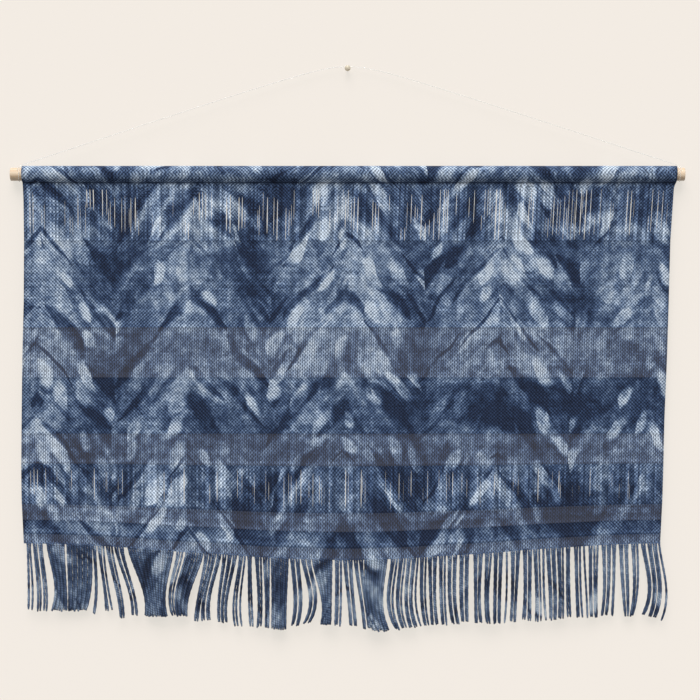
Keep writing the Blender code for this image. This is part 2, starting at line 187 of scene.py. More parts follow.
# The cord: clear nylon line, about as thick as a thick fishing line. It is tied once round each end of the
# rod beside the sleeve, and passes over the nail in a round arch, because it is too springy to fold there.
CORD_RADIUS = 0.4 * MM
ROD_RADIUS = 6.5 * MM
ROD_Y = -8.9 * MM
ROD_Z = -106.3 * MM
GAP = 0.3 * MM
TIE_TURNS = 1.1
TIE_PITCH = 1.7 * MM
TIE_POINTS = 14
TIE_LEFT_X = -327.6 * MM
TIE_RIGHT_X = 331.3 * MM
TIE_LEAVES = math.radians(118)
Place = namedtuple("Place", "across out below")
CORD_ROUTE = [
    Place(-326.6, 11.2, 98.1),
    Place(-325.0, 10.4, 96.9),
    Place(-318, 10.2, 94.6),
    Place(-290, 9.8, 85.3),
    Place(-240, 9.0, 68.7),
    Place(-170, 7.8, 45.6),
    Place(-110, 6.8, 26.0),
    Place(-65, 6.1, 11.9),
    Place(-35, 5.6, 3.4),
    Place(-15, 5.2, -0.8),
    Place(0, 5.0, -2.0),
    Place(15, 5.2, -0.8),
    Place(35, 5.6, 3.3),
    Place(65, 6.1, 11.7),
    Place(110, 6.8, 25.7),
    Place(170, 7.8, 45.0),
    Place(240, 9.0, 67.9),
    Place(290, 9.8, 84.3),
    Place(318, 10.2, 93.4),
    Place(328.7, 10.4, 96.9),
    Place(330.3, 11.2, 98.1),
]
ROUTE_SPANS = 4


def rod_tie(tie_x, outwards):
    wrap = ROD_RADIUS + GAP + CORD_RADIUS
    steps = round(TIE_TURNS * TIE_POINTS)
    line = []
    for step in range(steps + 1):
        to_go = TIE_TURNS * (1 - step / steps)
        angle = TIE_LEAVES + math.tau * to_go
        x = tie_x + outwards * TIE_PITCH * to_go
        line.append(Vector((x, ROD_Y + wrap * math.cos(angle), ROD_Z + wrap * math.sin(angle))))
    return line


def smooth_route(places, per_span):
    ends = [places[0] * 2 - places[1], *places, places[-1] * 2 - places[-2]]
    line = []
    for p0, p1, p2, p3 in zip(ends, ends[1:], ends[2:], ends[3:]):
        for i in range(per_span):
            t = i / per_span
            bend = (2 * p0 - 5 * p1 + 4 * p2 - p3) * t * t + (3 * p1 - p0 - 3 * p2 + p3) * t**3
            line.append(p1 + 0.5 * ((p2 - p0) * t + bend))
    return line + [places[-1]]


over_nail = smooth_route([Vector((p.across, -p.out, -p.below)) * MM for p in CORD_ROUTE], ROUTE_SPANS)
cord_line = [*rod_tie(TIE_LEFT_X, -1), *over_nail, *reversed(rod_tie(TIE_RIGHT_X, 1))]
cord_data = bpy.data.curves.new("nylon_cord", "CURVE")
cord_data.dimensions = "3D"
cord_data.bevel_depth = CORD_RADIUS
cord_data.bevel_resolution = 3
cord_data.use_fill_caps = True
spline = cord_data.splines.new("POLY")
spline.points.add(len(cord_line) - 1)
for point, place in zip(spline.points, cord_line):
    point.co = (*place, 1)
spline.use_smooth = True
cord = bpy.data.objects.new("nylon_cord", cord_data)
bpy.context.scene.collection.objects.link(cord)

nylon, nylon_tree, nylon_shader = finish_of(
    "clear_nylon",
    Base_Color=(0.96, 0.96, 0.94, 1),
    Roughness=0.25,
    IOR=1.45,
    Transmission_Weight=0.35,
    Alpha=0.5,
)
haze_at = node(nylon_tree, "ShaderNodeTexCoord")
haze = node(
    nylon_tree, "ShaderNodeTexNoise", {"Vector": haze_at.outputs["Object"], "Scale": 900, "Detail": 2}
)
haze_range = node(nylon_tree, "ShaderNodeMapRange", {0: haze.outputs[0], 1: 0.3, 2: 0.7, 3: 0.2, 4: 0.4})
nylon_tree.links.new(haze_range.outputs[0], nylon_shader.inputs["Roughness"])
cord_data.materials.append(nylon)
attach(cord, "root")
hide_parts("hanging_cord")


# The cloth: handwoven cotton, folded and bound before it was dyed with indigo, which left pale marks in
# upright zigzags. It is woven plain, with ribbed bands of finer thread and two open bands where the warp
# parts in slits. The top is turned over to the back and sewn down as the sleeve for the rod.
CLOTH_THICKNESS = 1.2 * MM
CLOTH_WIDTH = 654 * MM
SLEEVE_EASE = 0.4 * MM  # between the rod and the cloth round it
SLEEVE_RADIUS = ROD_RADIUS + GAP + SLEEVE_EASE + CLOTH_THICKNESS / 2
SEAM_DROP = 9.3 * MM
SEAM_ALLOWANCE = 6 * MM
LAYER_SPACING = CLOTH_THICKNESS + GAP
SLEEVE_PINCH_HEIGHT = 1.3 * MM  # above the sewn line, where the sleeve begins to open round the rod
SLEEVE_PINCH_OUT = 0.55 * LAYER_SPACING + 0.4 * MM  # its middle surface there, from the rod's axis
SLEEVE_OPEN = math.radians(25)  # the sleeve leaves the rod this far to each side of its underside
SLEEVE_STEP = math.radians(11.25)
HEM_DROP = 369 * MM  # the hem below the rod's axis, at its corners
HEM_BOW = 16.3 * MM  # how much lower the hem hangs at its middle
BOW_START = 266 * MM  # the bow grows from here down
BOW_GROWTH = 1.2  # the power that it grows by
BOW_MIDDLE = 0.503  # the lowest point, as a share of the hem's length
BOW_SPAN = 0.885  # the share of half a cosine wave that the bow takes up
BOW_ROUNDNESS = 2.5  # the power that the wave is raised to
FLUTE_DEPTH = 3.6 * MM  # of the soft upright folds, at the hem
BELLY = 3.0 * MM  # how far the hem's middle stands forward
COLUMN_PITCH = 2.6 * MM
ROW_PITCH = 4.2 * MM
OPEN_ROW_PITCH = 2.6 * MM
PICK_HALF_WIDTH = 0.8 * MM
PICK_HEIGHT = 0.25 * MM
SAME_DEPTH = 0.01 * MM
THREAD_UNEVEN = 0.05  # how far the surface rises and falls, in mm
SHARP_ANGLE = math.radians(50)  # sharper edges than this are shaded sharp

Edge = namedtuple("Edge", "below left right")
EDGES = [
    Edge(-8, 325.3, 329.0),
    Edge(8, 325.0, 328.4),
    Edge(13, 324.6, 326.3),
    Edge(26, 324.0, 325.4),
    Edge(66, 323.5, 322.7),
    Edge(126, 323.8, 321.1),
    Edge(186, 325.3, 319.3),
    Edge(246, 326.0, 316.8),
    Edge(296, 326.4, 315.7),
    Edge(326, 326.0, 314.8),
    Edge(369, 323.8, 312.6),
]
Flute = namedtuple("Flute", "count share phase")
FLUTES = [Flute(3.4, 0.45, 0.4), Flute(6.1, 0.33, 2.1), Flute(8.3, 0.22, 4.4)]

# Where the weave changes, in mm below the rod's axis, each marked by one thicker pick. The bands are given
# as pairs, each one's top and bottom.
PICKS = [66, 153, 203, 259, 288, 329, 345, 358]
RIBBED_BANDS = [153, 203, 259, 288, 329, 345, 358, 369]
OPEN_BANDS = [9.3, 66, 288, 329]

# The slits between warp threads, in mm: the first one's x from the nail, how many and how far apart, the top
# and bottom below the rod's axis, and the width
Slits = namedtuple("Slits", "x count apart top bottom width")
SLITS = [
    Slits(-317.6, 2, 3.3, 15, 62, 1.3),
    Slits(-269.6, 1, 0, 18, 58, 1.1),
    Slits(-260.8, 3, 3.3, 8, 36, 1.5),
    Slits(-245.0, 2, 4.2, 9, 46, 1.3),
    Slits(-236.7, 2, 3.8, 23, 58, 1.0),
    Slits(-225.9, 2, 3.3, 22, 62, 1.0),
    Slits(-216.7, 2, 4.4, 20, 61, 1.4),
    Slits(-208.9, 1, 0, 40, 64, 0.9),
    Slits(-187.6, 1, 0, 38, 62, 0.8),
    Slits(-162.2, 2, 2.7, 43, 65, 1.0),
    Slits(-154.0, 1, 0, 21, 43, 0.9),
    Slits(-148.3, 3, 3.3, 16, 48, 1.4),
    Slits(-121.0, 2, 3.6, 20, 60, 1.5),
    Slits(-108.7, 2, 4.3, 20, 60, 1.6),
    Slits(-87.3, 1, 0, 28, 65, 0.8),
    Slits(-80.3, 1, 0, 21, 62, 1.4),
    Slits(-73.8, 2, 3.5, 22, 65, 1.1),
    Slits(-61.8, 2, 3.2, 32, 66, 1.0),
    Slits(-34.4, 3, 3.4, 8, 44, 0.9),
    Slits(-2.1, 1, 0, 22, 56, 1.1),
    Slits(6.5, 2, 3.7, 22, 60, 1.4),
    Slits(25.0, 3, 2.9, 24, 60, 1.0),
    Slits(53.4, 2, 2.6, 50, 66, 0.8),
    Slits(63.7, 1, 0, 19, 50, 0.9),
    Slits(67.5, 2, 2.6, 28, 50, 0.8),
    Slits(73.8, 1, 0, 18, 66, 1.3),
    Slits(77.5, 2, 4.0, 46, 66, 1.0),
    Slits(88.1, 1, 0, 36, 66, 1.0),
    Slits(92.2, 1, 0, 10, 66, 1.3),
    Slits(96.3, 2, 3.8, 10, 58, 1.1),
    Slits(126.6, 1, 0, 12, 50, 0.8),
    Slits(137.3, 2, 2.9, 9, 50, 0.8),
    Slits(148.3, 2, 3.6, 8, 66, 1.6),
    Slits(155.4, 1, 0, 16, 50, 0.9),
    Slits(181.1, 2, 4.2, 22, 56, 1.1),
    Slits(205.8, 1, 0, 18, 65, 1.2),
    Slits(209.6, 2, 2.7, 20, 64, 0.8),
    Slits(216.3, 1, 0, 19, 66, 1.3),
    Slits(220.8, 2, 3.4, 12, 66, 0.8),
    Slits(228.2, 1, 0, 11, 66, 1.0),
    Slits(233.1, 1, 0, 9, 65, 1.3),
    Slits(238.0, 1, 0, 8, 66, 2.1),
    Slits(242.8, 1, 0, 9, 64, 1.2),
    Slits(252.7, 1, 0, 9, 60, 0.9),
    Slits(279.2, 2, 3.8, 14, 62, 1.6),
    Slits(300.4, 1, 0, 38, 62, 0.9),
    Slits(304.2, 1, 0, 8, 62, 1.4),
    Slits(310.0, 2, 4.6, 12, 60, 1.0),
    Slits(-317.0, 3, 3.4, 292, 322, 1.0),
    Slits(-302.0, 1, 0, 290, 326, 0.9),
    Slits(-276.1, 1, 0, 292, 320, 0.9),
    Slits(-253.2, 1, 0, 289, 328, 1.5),
    Slits(-240.6, 1, 0, 294, 318, 0.9),
    Slits(-225.1, 1, 0, 290, 322, 0.9),
    Slits(-183.1, 1, 0, 292, 326, 1.0),
    Slits(-163.2, 1, 0, 289, 328, 1.6),
    Slits(-130.6, 1, 0, 292, 324, 0.9),
    Slits(-110.1, 2, 4.5, 290, 322, 0.9),
    Slits(-93.1, 1, 0, 292, 326, 0.9),
    Slits(-46.6, 1, 0, 290, 324, 1.0),
    Slits(-34.6, 2, 6.5, 292, 326, 0.9),
    Slits(-2.0, 1, 0, 289, 328, 1.7),
    Slits(13.6, 1, 0, 289, 328, 1.5),
    Slits(51.4, 2, 12.0, 292, 322, 0.9),
    Slits(79.9, 1, 0, 290, 326, 0.9),
    Slits(105.1, 1, 0, 292, 320, 1.0),
    Slits(146.4, 1, 0, 296, 320, 1.1),
    Slits(165.4, 2, 5.0, 292, 322, 0.8),
    Slits(190.4, 1, 0, 290, 326, 1.0),
    Slits(211.1, 1, 0, 294, 318, 1.2),
    Slits(242.4, 1, 0, 290, 324, 0.9),
    Slits(280.8, 1, 0, 292, 326, 0.9),
]
SLIT_SHARE = 0.64  # the open part of that width, between the fuzz of its two threads
SLIT_UNEVEN = 3  # how far the ends of one row's slits may differ
SLIT_WIDTHS = (0.75, 1.15)  # the shares of its width that a slit may have, whole and row by row
SLIT_TAPER = 0.4  # the power of the half sine wave that its width follows, so that its ends close fast

# Between them a share of each open band's other warp lines part by up to a small width, in mm
FineSlits = namedtuple("FineSlits", "top bottom share width")
FINE_SLITS = [FineSlits(10, 66, 0.30, 0.55), FineSlits(289, 329, 0.30, 0.4)]
FINE_SLIT_SHORTEST = 18
FINE_SLIT_ROOM = 24  # a fine slit starts at least this far above its band's bottom
UNPARTED_COLUMNS = 2  # at each side edge


def smooth_step(value):
    value = min(1.0, max(0.0, value))
    return value * value * (3 - 2 * value)


def side_edges(below):
    """The x of the cloth's left and right edge at a depth below the rod's axis."""
    below = min(max(below / MM, EDGES[0].below), EDGES[-1].below)
    for upper, lower in zip(EDGES, EDGES[1:]):
        if below <= lower.below:
            share = (below - upper.below) / (lower.below - upper.below)
            left = upper.left + share * (lower.left - upper.left)
            right = upper.right + share * (lower.right - upper.right)
            return -left * MM, right * MM
    return -EDGES[-1].left * MM, EDGES[-1].right * MM


def hem_bell(across):
    """1 where the hem hangs lowest and 0 at its corners. across is the share of the cloth's width."""
    return max(0.0, math.cos(math.pi * BOW_SPAN * (across - BOW_MIDDLE))) ** BOW_ROUNDNESS


def sagged(below, across):
    grown = max(0.0, below - BOW_START) / (HEM_DROP - BOW_START)
    return below + HEM_BOW * hem_bell(across) * grown**BOW_GROWTH


def panel_y(below, across):
    grown = smooth_step((below - SEAM_DROP) / (HEM_DROP - SEAM_DROP))
    waves = sum(f.share * math.sin(math.tau * f.count * across + f.phase) for f in FLUTES)
    return ROD_Y - LAYER_SPACING / 2 + grown * (FLUTE_DEPTH * waves - BELLY * hem_bell(across))


def panel_point(below, across):
    left, right = side_edges(below)
    return Vector((left + across * (right - left), panel_y(below, across), ROD_Z - sagged(below, across)))


def sleeve_line():
    """The sleeve's middle line as y and z from the rod's axis, up the front and down the back."""
    line = [(-SLEEVE_PINCH_OUT, -SEAM_DROP + SLEEVE_PINCH_HEIGHT)]
    turn = math.tau - 2 * SLEEVE_OPEN
    steps = round(turn / SLEEVE_STEP)
    for i in range(steps + 1):
        angle = -math.pi / 2 - SLEEVE_OPEN - turn * i / steps
        line.append((SLEEVE_RADIUS * math.cos(angle), SLEEVE_RADIUS * math.sin(angle)))
    line += [(SLEEVE_PINCH_OUT, -SEAM_DROP + SLEEVE_PINCH_HEIGHT), (LAYER_SPACING / 2, -SEAM_DROP)]
    line.append((LAYER_SPACING / 2, -SEAM_DROP - SEAM_ALLOWANCE))
    return line


def row_depths():
    """The panel's rows as depths below the rod's axis, closer at thick picks and in open bands."""
    marks = [SEAM_DROP]
    for pick in PICKS:
        marks += [pick * MM - PICK_HALF_WIDTH, pick * MM, pick * MM + PICK_HALF_WIDTH]
    marks.append(HEM_DROP)
    rows = []
    for upper, lower in zip(marks, marks[1:]):
        in_open = any(a * MM <= upper < b * MM for a, b in zip(OPEN_BANDS[::2], OPEN_BANDS[1::2]))
        count = max(1, round((lower - upper) / (OPEN_ROW_PITCH if in_open else ROW_PITCH)))
        rows += [upper + (lower - upper) * i / count for i in range(count)]
    return [*rows, HEM_DROP]


depths = row_depths()
column_count = round(CLOTH_WIDTH / COLUMN_PITCH)
columns = [i / column_count for i in range(column_count + 1)]

parted = {}
slit_chance = random.Random(31)


def part_warp(column, top, bottom, width):
    """Parts one warp line between the rows at two depths in mm, by up to width in mm."""
    inside = [r for r, depth in enumerate(depths) if top * MM <= depth <= bottom * MM]
    for row in inside[1:-1]:
        share = (row - inside[0]) / (inside[-1] - inside[0])
        uneven = slit_chance.uniform(*SLIT_WIDTHS)
        parted[row, column] = width / 2 * MM * uneven * math.sin(math.pi * share) ** SLIT_TAPER


# Each slit takes the nearest warp line, which moves to it, and many of the other lines part a little
slit_columns = {band: set() for band in FINE_SLITS}
for group in SLITS:
    for i in range(group.count):
        left, right = side_edges((group.top + group.bottom) / 2 * MM)
        across = ((group.x + i * group.apart) * MM - left) / (right - left)
        column = round(across * column_count)
        columns[column] = across
        top = group.top + slit_chance.uniform(-SLIT_UNEVEN, SLIT_UNEVEN) * (i > 0)
        bottom = group.bottom + slit_chance.uniform(-SLIT_UNEVEN, SLIT_UNEVEN) * (i > 0)
        part_warp(column, top, bottom, SLIT_SHARE * group.width * slit_chance.uniform(*SLIT_WIDTHS))
        band = next(band for band in FINE_SLITS if group.top < band.bottom)
        slit_columns[band].add(column)
for band in FINE_SLITS:
    for column in range(UNPARTED_COLUMNS, column_count + 1 - UNPARTED_COLUMNS):
        if column not in slit_columns[band] and slit_chance.random() < band.share:
            top = slit_chance.uniform(band.top, band.bottom - FINE_SLIT_ROOM)
            bottom = slit_chance.uniform(top + FINE_SLIT_SHORTEST, band.bottom)
            part_warp(column, top, bottom, band.width * slit_chance.uniform(0.5, 1))

cloth_points = []
cloth_uvs = []
slit_sides = []
point_at = {}
chance = random.Random(11)


def add_point(key, place, across, along):
    """A point of the sheet. A key of three parts is one side of a slit."""
    point_at[key] = len(cloth_points)
    cloth_points.append(place)
    cloth_uvs.append((across * CLOTH_WIDTH, along))
    slit_sides.append(float(len(key) == 3))


for row, depth in enumerate(depths):
    thick_pick = PICK_HEIGHT if any(abs(depth - pick * MM) < SAME_DEPTH for pick in PICKS) else 0.0
    for column, across in enumerate(columns):
        place = panel_point(depth, across)
        place.y -= thick_pick + chance.uniform(-THREAD_UNEVEN, THREAD_UNEVEN) * MM
        if (row, column) in parted:
            half = Vector((parted[row, column], 0, 0))
            add_point((row, column, "left"), place - half, across, depth)
            add_point((row, column, "right"), place + half, across, depth)
        else:
            add_point((row, column), place, across, depth)
section = sleeve_line()
along = SEAM_DROP
last = (-LAYER_SPACING / 2, -SEAM_DROP)
for step, (y, z) in enumerate(section, 1):
    along -= math.dist(last, (y, z))
    last = (y, z)
    left, right = side_edges(-z)
    for column, across in enumerate(columns):
        place = Vector((left + across * (right - left), ROD_Y + y, ROD_Z + z))
        add_point((-step, column), place, across, along)


def corner(row, column, side):
    return point_at.get((row, column, side), point_at.get((row, column)))


cloth_faces = []
for row in range(-len(section), len(depths) - 1):
    for column in range(column_count):
        cloth_faces.append(
            (
                corner(row, column, "right"),
                corner(row + 1, column, "right"),
                corner(row + 1, column + 1, "left"),
                corner(row, column + 1, "left"),
            )
        )
cloth_data = bpy.data.meshes.new("woven_cloth")
cloth_data.from_pydata(cloth_points, [], cloth_faces)
cloth_map = cloth_data.uv_layers.new(name="cloth")
for loop in cloth_data.loops:
    cloth_map.data[loop.index].uv = cloth_uvs[loop.vertex_index]
cloth_data.attributes.new("slit_side", "FLOAT", "POINT").data.foreach_set("value", slit_sides)
cloth = bpy.data.objects.new("woven_cloth", cloth_data)
bpy.context.scene.collection.objects.link(cloth)
thick = cloth.modifiers.new("thickness", "SOLIDIFY")
thick.thickness = CLOTH_THICKNESS
thick.offset = 0
thick.use_even_offset = True
pick_only(cloth)
bpy.ops.object.modifier_apply(modifier="thickness")
bpy.ops.object.shade_smooth_by_angle(angle=SHARP_ANGLE)


def effect(name, inputs, outputs):
    """A new shader node group, its input and its output node. The dicts map names to socket kinds."""
    tree = bpy.data.node_groups.new(name, "ShaderNodeTree")
    for way, sockets in (("INPUT", inputs), ("OUTPUT", outputs)):
        for title, kind in sockets.items():
            tree.interface.new_socket(name=title, in_out=way, socket_type="NodeSocket" + kind)
    return tree, tree.nodes.new("NodeGroupInput"), tree.nodes.new("NodeGroupOutput")


def noise(tree, at, size, detail=2.0, roughness=0.5, output="Fac"):
    """Noise whose blotches are about size across, in the units of at."""
    made = node(
        tree,
        "ShaderNodeTexNoise",
        {"Vector": at, "Scale": 1 / size, "Detail": detail, "Roughness": roughness},
        noise_dimensions="2D",
    )
    return made.outputs[output]


def ramp(tree, value, low, high, to_low=0.0, to_high=1.0):
    made = node(
        tree,
        "ShaderNodeMapRange",
        {0: value, 1: low, 2: high, 3: to_low, 4: to_high},
        interpolation_type="SMOOTHSTEP",
    )
    return made.outputs[0]


def shifted(tree, at, size, amount, detail=1.0):
    """at, pushed about by noise of that size by up to about amount each way."""
    colour = noise(tree, at, size, detail, output="Color")
    push = node(tree, "ShaderNodeVectorMath", {0: colour, 1: (0.5, 0.5, 0.5)}, operation="SUBTRACT")
    far = node(tree, "ShaderNodeVectorMath", {0: push.outputs[0], "Scale": 2 * amount}, operation="SCALE")
    return node(tree, "ShaderNodeVectorMath", {0: at, 1: far.outputs[0]}, operation="ADD").outputs[0]


def joined(tree, x, y):
    return node(tree, "ShaderNodeCombineXYZ", {0: x, 1: y}).outputs[0]


# The dye, in mm from the cloth's left edge and down from the rod's axis. The cloth was folded to and fro on
# upright lines, then bound on the slant, so each bound line comes out as a zigzag. It resisted the dye in
# rows of almond shapes between the bindings, and the dye ran along the creases and pooled in the folds.
# A pool's depth is the dye that it adds, or with a minus sign what it lacks.
FOLD_WIDTH = 78.0
FIRST_RIDGE = 170.0
SLANT = 1.14
ROW_HEIGHT = 36.0
ALMOND_LENGTH = 36.0
ALMOND_HEIGHT = 17.0
STROKE_LENGTH = 66.0
STROKE_NARROW = 2.6
STROKE_BROAD = 12.0
LOOSE_FROM = 520.0  # to the right of here it was bound less tightly
LOOSE_TO = 600.0
Pool = namedtuple("Pool", "x below wide high depth")
POOLS = [
    Pool(85, 205, 26, 32, 0.26),
    Pool(232, 95, 16, 60, 0.26),
    Pool(95, 110, 20, 50, 0.12),
    Pool(395, 130, 22, 42, 0.22),
    Pool(455, 40, 18, 34, 0.34),
    Pool(470, 228, 100, 26, 0.30),
    Pool(600, 225, 60, 32, 0.30),
    Pool(560, 130, 30, 26, 0.26),
    Pool(375, 300, 40, 24, 0.18),
    Pool(225, 330, 24, 26, 0.20),
    Pool(540, 330, 60, 30, 0.20),
    Pool(620, 340, 40, 40, 0.16),
    Pool(95, 30, 30, 24, 0.14),
    Pool(620, 30, 36, 22, 0.20),
    Pool(250, 20, 20, 40, 0.20),
    Pool(60, 250, 30, 40, 0.14),
    Pool(40, 60, 26, 40, -0.10),
    Pool(165, 60, 40, 70, -0.14),
    Pool(325, 60, 44, 60, -0.17),
    Pool(350, 170, 70, 40, -0.12),
    Pool(130, 260, 60, 60, -0.08),
    Pool(330, 0, 420, 14, -0.04),
    Pool(330, 38, 420, 34, 0.06),
    Pool(330, 273, 420, 20, 0.07),
    Pool(255, 300, 60, 40, -0.14),
    Pool(20, 300, 20, 60, -0.12),
    Pool(330, 305, 420, 75, 0.11),
]

dye, dye_in, dye_out = effect("shibori_dye", {"Place": "Vector"}, {"Depth": "Float"})
place_mm = dye_in.outputs["Place"]
wandering = shifted(dye, shifted(dye, place_mm, 60, 9), 15, 1.3, 2)
parts_of = node(dye, "ShaderNodeSeparateXYZ", {0: wandering})
to_right = calc(dye, "SUBTRACT", parts_of.outputs[0], FIRST_RIDGE)
from_ridge = calc(dye, "PINGPONG", to_right, FOLD_WIDTH)
fold_number = calc(dye, "FLOOR", calc(dye, "DIVIDE", to_right, FOLD_WIDTH))
ridge_number = calc(dye, "ROUND", calc(dye, "DIVIDE", to_right, 2 * FOLD_WIDTH))
down_zigzag = calc(dye, "SUBTRACT", parts_of.outputs[1], calc(dye, "MULTIPLY", from_ridge, SLANT))
arm_length = math.hypot(1, SLANT)
down_arm = calc(dye, "MULTIPLY", from_ridge, arm_length)
across_arm = calc(dye, "DIVIDE", down_zigzag, arm_length)


def patches(tree, number, length, height, shift, randomness):
    """Cells in rows along the arms: the place in the cell from its middle, and its two random numbers."""
    along = calc(tree, "MULTIPLY_ADD", number, shift, calc(tree, "DIVIDE", down_arm, length))
    at = joined(tree, along, calc(tree, "DIVIDE", across_arm, height))
    found = node(
        tree,
        "ShaderNodeTexVoronoi",
        {"Vector": at, "Scale": 1.0, "Randomness": randomness},
        voronoi_dimensions="2D",
    )
    inside = node(tree, "ShaderNodeVectorMath", {0: at, 1: found.outputs["Position"]}, operation="SUBTRACT")
    inside_xy = node(tree, "ShaderNodeSeparateXYZ", {0: inside.outputs[0]})
    chances = node(tree, "ShaderNodeSeparateColor", {0: found.outputs["Color"]})
    return inside_xy.outputs[0], inside_xy.outputs[1], chances.outputs[0], chances.outputs[1]


# The creases: dark strokes along the bound lines, each swelling and tapering
x, y, chance_a, chance_b = patches(dye, ridge_number, STROKE_LENGTH, ROW_HEIGHT, 5.3, 0.5)
from_middle = calc(dye, "ABSOLUTE", calc(dye, "DIVIDE", x, 0.6))
taper = calc(dye, "SUBTRACT", 1.0, calc(dye, "POWER", from_middle, 2.0))
skew = calc(dye, "MULTIPLY_ADD", calc(dye, "SUBTRACT", chance_b, 0.5), calc(dye, "MULTIPLY", x, 3.0), 1.0)
widest = ramp(dye, chance_a, 0.1, 0.9, STROKE_NARROW, STROKE_BROAD)
stroke_width = calc(dye, "MULTIPLY", calc(dye, "MULTIPLY", taper, skew), widest)
stroke_width = calc(dye, "MAXIMUM", stroke_width, 0.05)
off_stroke = calc(dye, "DIVIDE", calc(dye, "MULTIPLY", calc(dye, "ABSOLUTE", y), ROW_HEIGHT), stroke_width)
crease = calc(dye, "SUBTRACT", 1.0, ramp(dye, off_stroke, 0.3, 1.0))
bound_loose = ramp(dye, noise(dye, place_mm, 60, 1), 0.42, 0.60, 1.0, 0.45)
bound_tight = ramp(dye, parts_of.outputs[0], LOOSE_FROM, LOOSE_TO, 1.0, 0.4)
crease = calc(dye, "MULTIPLY", calc(dye, "MULTIPLY", crease, bound_tight), bound_loose)

# The leaves: broad half-pale lobes under each crease, palest along their upper side
off_lobe = calc(dye, "ABSOLUTE", calc(dye, "SUBTRACT", y, 0.22))
lobe = calc(dye, "SUBTRACT", 1.0, ramp(dye, off_lobe, 0.05, 0.34))
lobe = calc(dye, "MULTIPLY", lobe, ramp(dye, chance_b, 0.15, 0.8))
lobe = calc(dye, "MULTIPLY", lobe, calc(dye, "MAXIMUM", taper, 0.0))

# The almonds: pale patches in rows along the arms, a little steeper than them, with a dark lower side
x, y, chance_a, chance_b = patches(dye, fold_number, ALMOND_LENGTH, ALMOND_HEIGHT, 3.7, 0.8)
tilted = calc(dye, "MULTIPLY_ADD", x, 0.42, y)
size = ramp(dye, chance_b, 0, 1, 0.36, 0.64)
reach = node(dye, "ShaderNodeVectorMath", {0: joined(dye, x, tilted)}, operation="LENGTH").outputs["Value"]
almond_edge = calc(dye, "DIVIDE", reach, size)
almond = calc(dye, "SUBTRACT", 1.0, ramp(dye, almond_edge, 0.5, 1.0))
almond_strength = ramp(dye, chance_a, 0.35, 0.95)
almond = calc(dye, "MULTIPLY", almond, almond_strength)
almond = calc(dye, "MULTIPLY", almond, ramp(dye, from_ridge, 0, 4, 0.4, 1.0))
almond = calc(dye, "MULTIPLY", almond, ramp(dye, parts_of.outputs[1], 200, 300, 1.0, 0.88))
under = calc(dye, "MULTIPLY", ramp(dye, almond_edge, 0.8, 1.05), ramp(dye, tilted, 0.12, 0.4))
under = calc(dye, "MULTIPLY", under, almond_strength)

cloud = noise(dye, place_mm, 52, 3, 0.55)
mottle = noise(dye, shifted(dye, place_mm, 18, 5), 10, 6, 0.66)
along_streak = calc(dye, "MULTIPLY_ADD", fold_number, 31.0, calc(dye, "DIVIDE", down_arm, 3.0))
streaks = noise(dye, joined(dye, along_streak, across_arm), 6, 3, 0.6)
depth = calc(dye, "ADD", 0.53, ramp(dye, from_ridge, 30, FOLD_WIDTH, -0.04, 0.08))
for blotches, amount in ((cloud, 0.85), (mottle, 0.90), (streaks, 0.30)):
    depth = calc(dye, "MULTIPLY_ADD", calc(dye, "SUBTRACT", blotches, 0.5), amount, depth)
for mark, amount in ((almond, -0.40), (lobe, -0.20), (crease, 0.42), (under, 0.16)):
    depth = calc(dye, "MULTIPLY_ADD", mark, amount, depth)
for pool in POOLS:
    middle = (pool.x, pool.below, 0)
    shrunk = (1 / pool.wide, 1 / pool.high, 0)
    offset = node(dye, "ShaderNodeVectorMath", {0: wandering, 1: middle}, operation="SUBTRACT")
    scaled = node(dye, "ShaderNodeVectorMath", {0: offset.outputs[0], 1: shrunk}, operation="MULTIPLY")
    off_pool = node(dye, "ShaderNodeVectorMath", {0: scaled.outputs[0]}, operation="LENGTH")
    depth = calc(dye, "ADD", depth, ramp(dye, off_pool.outputs["Value"], 0.3, 1.3, pool.depth, 0.0))
dye.links.new(calc(dye, "ADD", depth, 0.0, clamp=True), dye_out.inputs["Depth"])

# The shades of indigo, from cloth the dye hardly reached to the folds where it pooled
Shade = namedtuple("Shade", "depth red green blue")
SHADES = [
    Shade(0.00, 0.450, 0.525, 0.625),
    Shade(0.22, 0.260, 0.335, 0.455),
    Shade(0.45, 0.096, 0.145, 0.245),
    Shade(0.65, 0.040, 0.067, 0.135),
    Shade(0.85, 0.020, 0.036, 0.080),
    Shade(1.00, 0.015, 0.023, 0.050),
]
VEIL = 0.10  # how much of a warmer, paler thread shows where the cloth is ribbed
UNDYED_WARP = (0.29, 0.27, 0.265, 1)

indigo, indigo_in, indigo_out = effect(
    "indigo_shades", {"Depth": "Float", "Light": "Float", "Greyness": "Float"}, {"Colour": "Color"}
)
shades = indigo.nodes.new("ShaderNodeValToRGB")
over_mean = calc(indigo, "SUBTRACT", indigo_in.outputs["Light"], 1.0)
indigo.links.new(calc(indigo, "MULTIPLY_ADD", over_mean, -0.13, indigo_in.outputs["Depth"]), shades.inputs[0])
while len(shades.color_ramp.elements) < len(SHADES):
    shades.color_ramp.elements.new(0.5)
for element, shade in zip(shades.color_ramp.elements, SHADES):
    element.position = shade.depth
    element.color = (shade.red, shade.green, shade.blue, 1)
thread_light = calc(indigo, "MULTIPLY_ADD", over_mean, 0.62, 1.0)
lit = node(indigo, "ShaderNodeVectorMath", {0: shades.outputs[0], "Scale": thread_light}, operation="SCALE")
grey = blend(indigo, VEIL, lit.outputs[0], UNDYED_WARP)
greyed = blend(indigo, indigo_in.outputs["Greyness"], lit.outputs[0], grey)
indigo.links.new(greyed, indigo_out.inputs["Colour"])


def cloth_place(tree):
    """The place on the flat cloth, in mm, from the UV map that the cloth and its fringe share."""
    flat = node(tree, "ShaderNodeUVMap", uv_map="cloth").outputs[0]
    return node(tree, "ShaderNodeVectorMath", {0: flat, "Scale": 1 / MM}, operation="SCALE").outputs[0]


